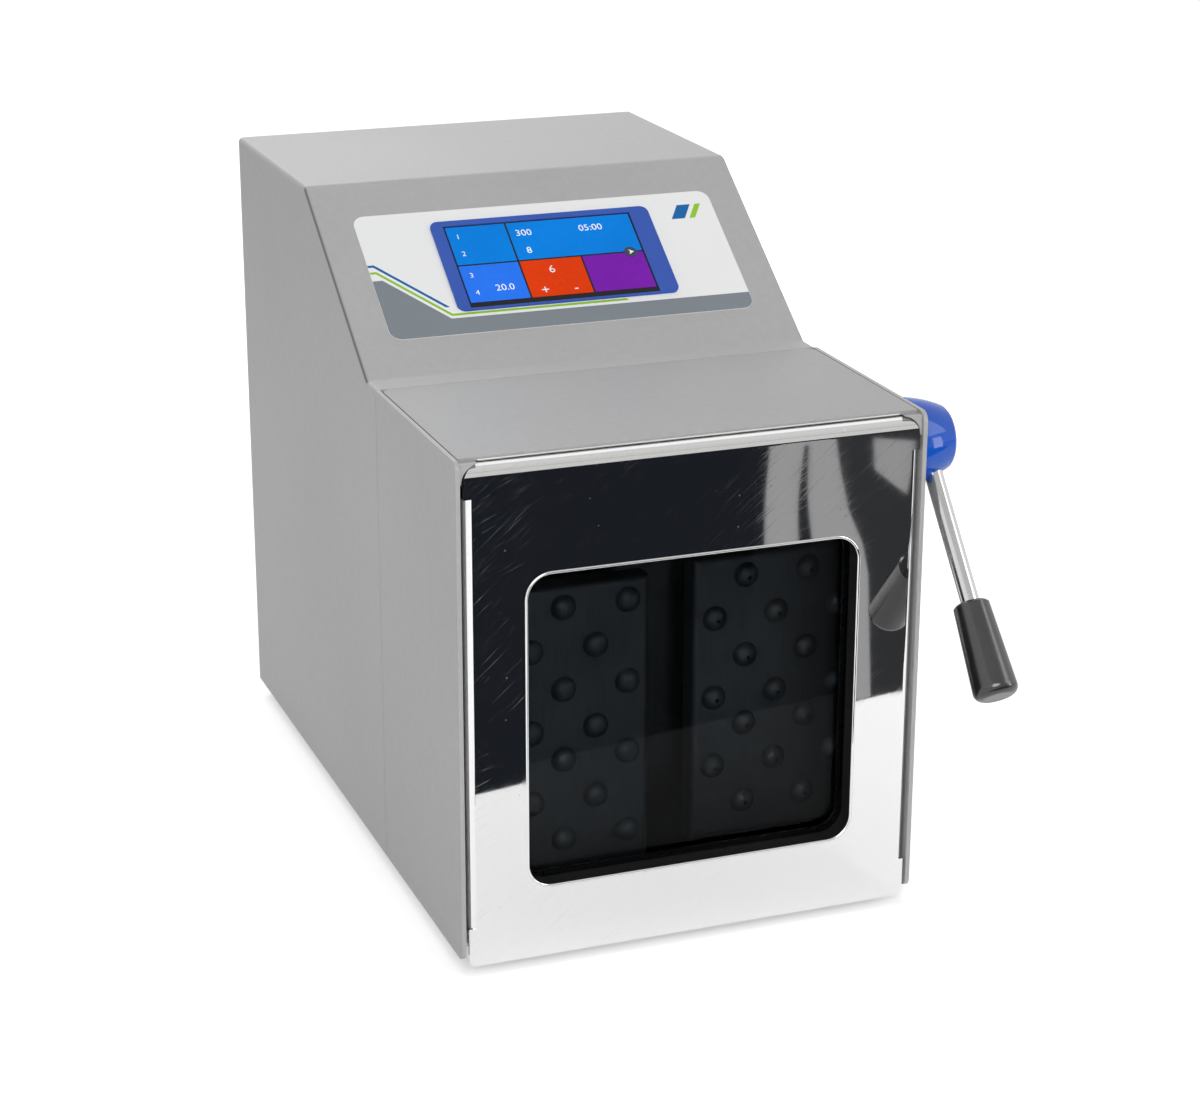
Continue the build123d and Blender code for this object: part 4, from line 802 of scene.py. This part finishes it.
for name, words, height, x, s in (
    ("digits_a", "1", 4.2, -44.5, 81.5),
    ("digits_b", "2", 4.2, -44.5, 70.5),
    ("digits_c", "3", 4.2, -44.5, 56.5),
    ("digits_d", "4", 4.2, -44.5, 45.5),
    ("digits_e", "20.0", 5.6, -34.0, 47.0),
    ("digits_f", "300", 5.6, -14.5, 80.5),
    ("digits_g", "05:00", 5.6, 18.0, 80.5),
    ("digits_h", "8", 5.6, -12.0, 69.0),
    ("digits_i", "6", 6.6, -4.6, 55.5),
    ("sign_plus", "+", 7.5, -12.0, 42.5),
    ("sign_minus", "-", 7.5, 4.5, 42.5),
):
    sign(name, words, height, x, s)

key_mesh = slab("round_key", circle(39.8, 64.4, 3.2, 40), FIELD_TOP, KEY_TOP, slope_point, 0.04)
finished("round_key", key_mesh, INK_DARK, "housing")
ARROW = [(38.9, 62.8), (41.6, 64.4), (38.9, 66.0), (39.5, 64.4)]
arrow_mesh = slab("round_key_arrow", ARROW, KEY_TOP, ARROW_TOP, slope_point, 0.02)
finished("round_key_arrow", arrow_mesh, INK_WHITE, "housing")

# ---- Label: a grey lower field, two thin lines along it and two slanted bars, printed on the film ----
FILM_TOP = 0.4
PRINT_TOP = FILM_TOP + 0.05
INK_SHINE = {"Specular_IOR_Level": 0.2}
PRINT_GREY = grained("print_grey", (0.2, 0.225, 0.25, 1), (0.22, 0.25, 0.275, 1), 1700, (0.3, 0.4), 0.00001,
                     **INK_SHINE)
PRINT_BLUE = glossy("print_blue", (0.0, 0.11, 0.36, 1), (0.0, 0.13, 0.4, 1), (0.3, 0.4), 0.000003,
                    **INK_SHINE)
PRINT_GREEN = glossy("print_green", (0.26, 0.54, 0.02, 1), (0.3, 0.6, 0.03, 1), (0.3, 0.4), 0.000003,
                     **INK_SHINE)

band_top = [(-91.9, 60.0), (-87.0, 60.0), (-60.0, 33.0), (91.9, 33.0)]
band_corners = arc(86.0, 29.0, 5.9, 0, -90, 8) + arc(-86.0, 29.0, 5.9, 270, 180, 8)
PRINTS = {
    "label_band": (PRINT_GREY, band_top + band_corners),
    "label_line_blue": (PRINT_BLUE, [
        (-91.9, 68.6), (-89.4, 68.6), (-61.0, 40.2), (-59.0, 40.2), (-88.8, 70.0), (-91.9, 70.0),
    ]),
    "label_line_green": (PRINT_GREEN, [
        (-91.9, 64.4), (-89.2, 64.4), (-59.4, 34.6), (30.0, 34.6), (28.7, 35.9), (-58.8, 35.9),
        (-88.6, 65.7), (-91.9, 65.7),
    ]),
    "label_bar_blue": (PRINT_BLUE, [(68.0, 84.0), (75.0, 84.0), (80.5, 93.0), (73.5, 93.0)]),
    "label_bar_green": (PRINT_GREEN, [(77.5, 84.0), (80.5, 84.0), (86.0, 93.0), (83.0, 93.0)]),
}
for name, (ink, outline) in PRINTS.items():
    print_mesh = slab(name, outline, FILM_TOP, PRINT_TOP, slope_point, 0.02)
    finished(name, print_mesh, ink, "housing")

# ---- Plain line and ring on the mains switch's key ----
# The key's middle, its axle's y and z, how far its face lies from the axle in the middle and at its ends,
# half its length, and its tilt.
SWITCH = {"x": 14.0, "axle": (361.0, 46.0), "dish": 3.2, "crest": 4.8, "reach": 9.3,
          "tilt": math.radians(10)}
MARK_PLACE = 5.0  # how far above the key's middle the line is, and the ring below it
MARK_LOW, MARK_HIGH = -0.03, 0.04  # from under the key's face to just over it


def key_point(x, u, lift):
    """A point on the key's face: across, up from its axle before the key is tilted, and out of it."""
    out = SWITCH["dish"] + (SWITCH["crest"] - SWITCH["dish"]) * abs(u) / SWITCH["reach"] + lift
    cos, sin = math.cos(SWITCH["tilt"]), math.sin(SWITCH["tilt"])
    y = SWITCH["axle"][0] + out * cos - u * sin
    return point(SWITCH["x"] + x, y, SWITCH["axle"][1] + out * sin + u * cos)


def mark(name, outline, hole=None):
    """A thin print on the key, in the screen's glowing white ink, so that it glows as painted light. A hole
    has as many points as the outline.
    """
    form = bmesh.new()
    rows = [[form.verts.new(key_point(x, u, lift)) for x, u in outline] for lift in (MARK_LOW, MARK_HIGH)]
    count = len(outline)
    if hole:
        rows += [[form.verts.new(key_point(x, u, lift)) for x, u in hole] for lift in (MARK_HIGH, MARK_LOW)]
    else:
        form.faces.new(rows[1])
        form.faces.new(rows[0])
    loops = rows + rows[:1] if hole else rows
    for low, high in zip(loops, loops[1:]):
        for k in range(count):
            form.faces.new((low[k], low[(k + 1) % count], high[(k + 1) % count], high[k]))
    bmesh.ops.recalc_face_normals(form, faces=form.faces)
    mesh = bpy.data.meshes.new(name)
    form.to_mesh(mesh)
    form.free()
    finished(name, mesh, INK_WHITE, "rocker")


mark("switch_line", [(x, MARK_PLACE + u) for x, u in rounded(0.9, 4.2, 0.3, 3)])
mark("switch_ring", circle(0, -MARK_PLACE, 2.1, 36), circle(0, -MARK_PLACE, 1.45, 36))
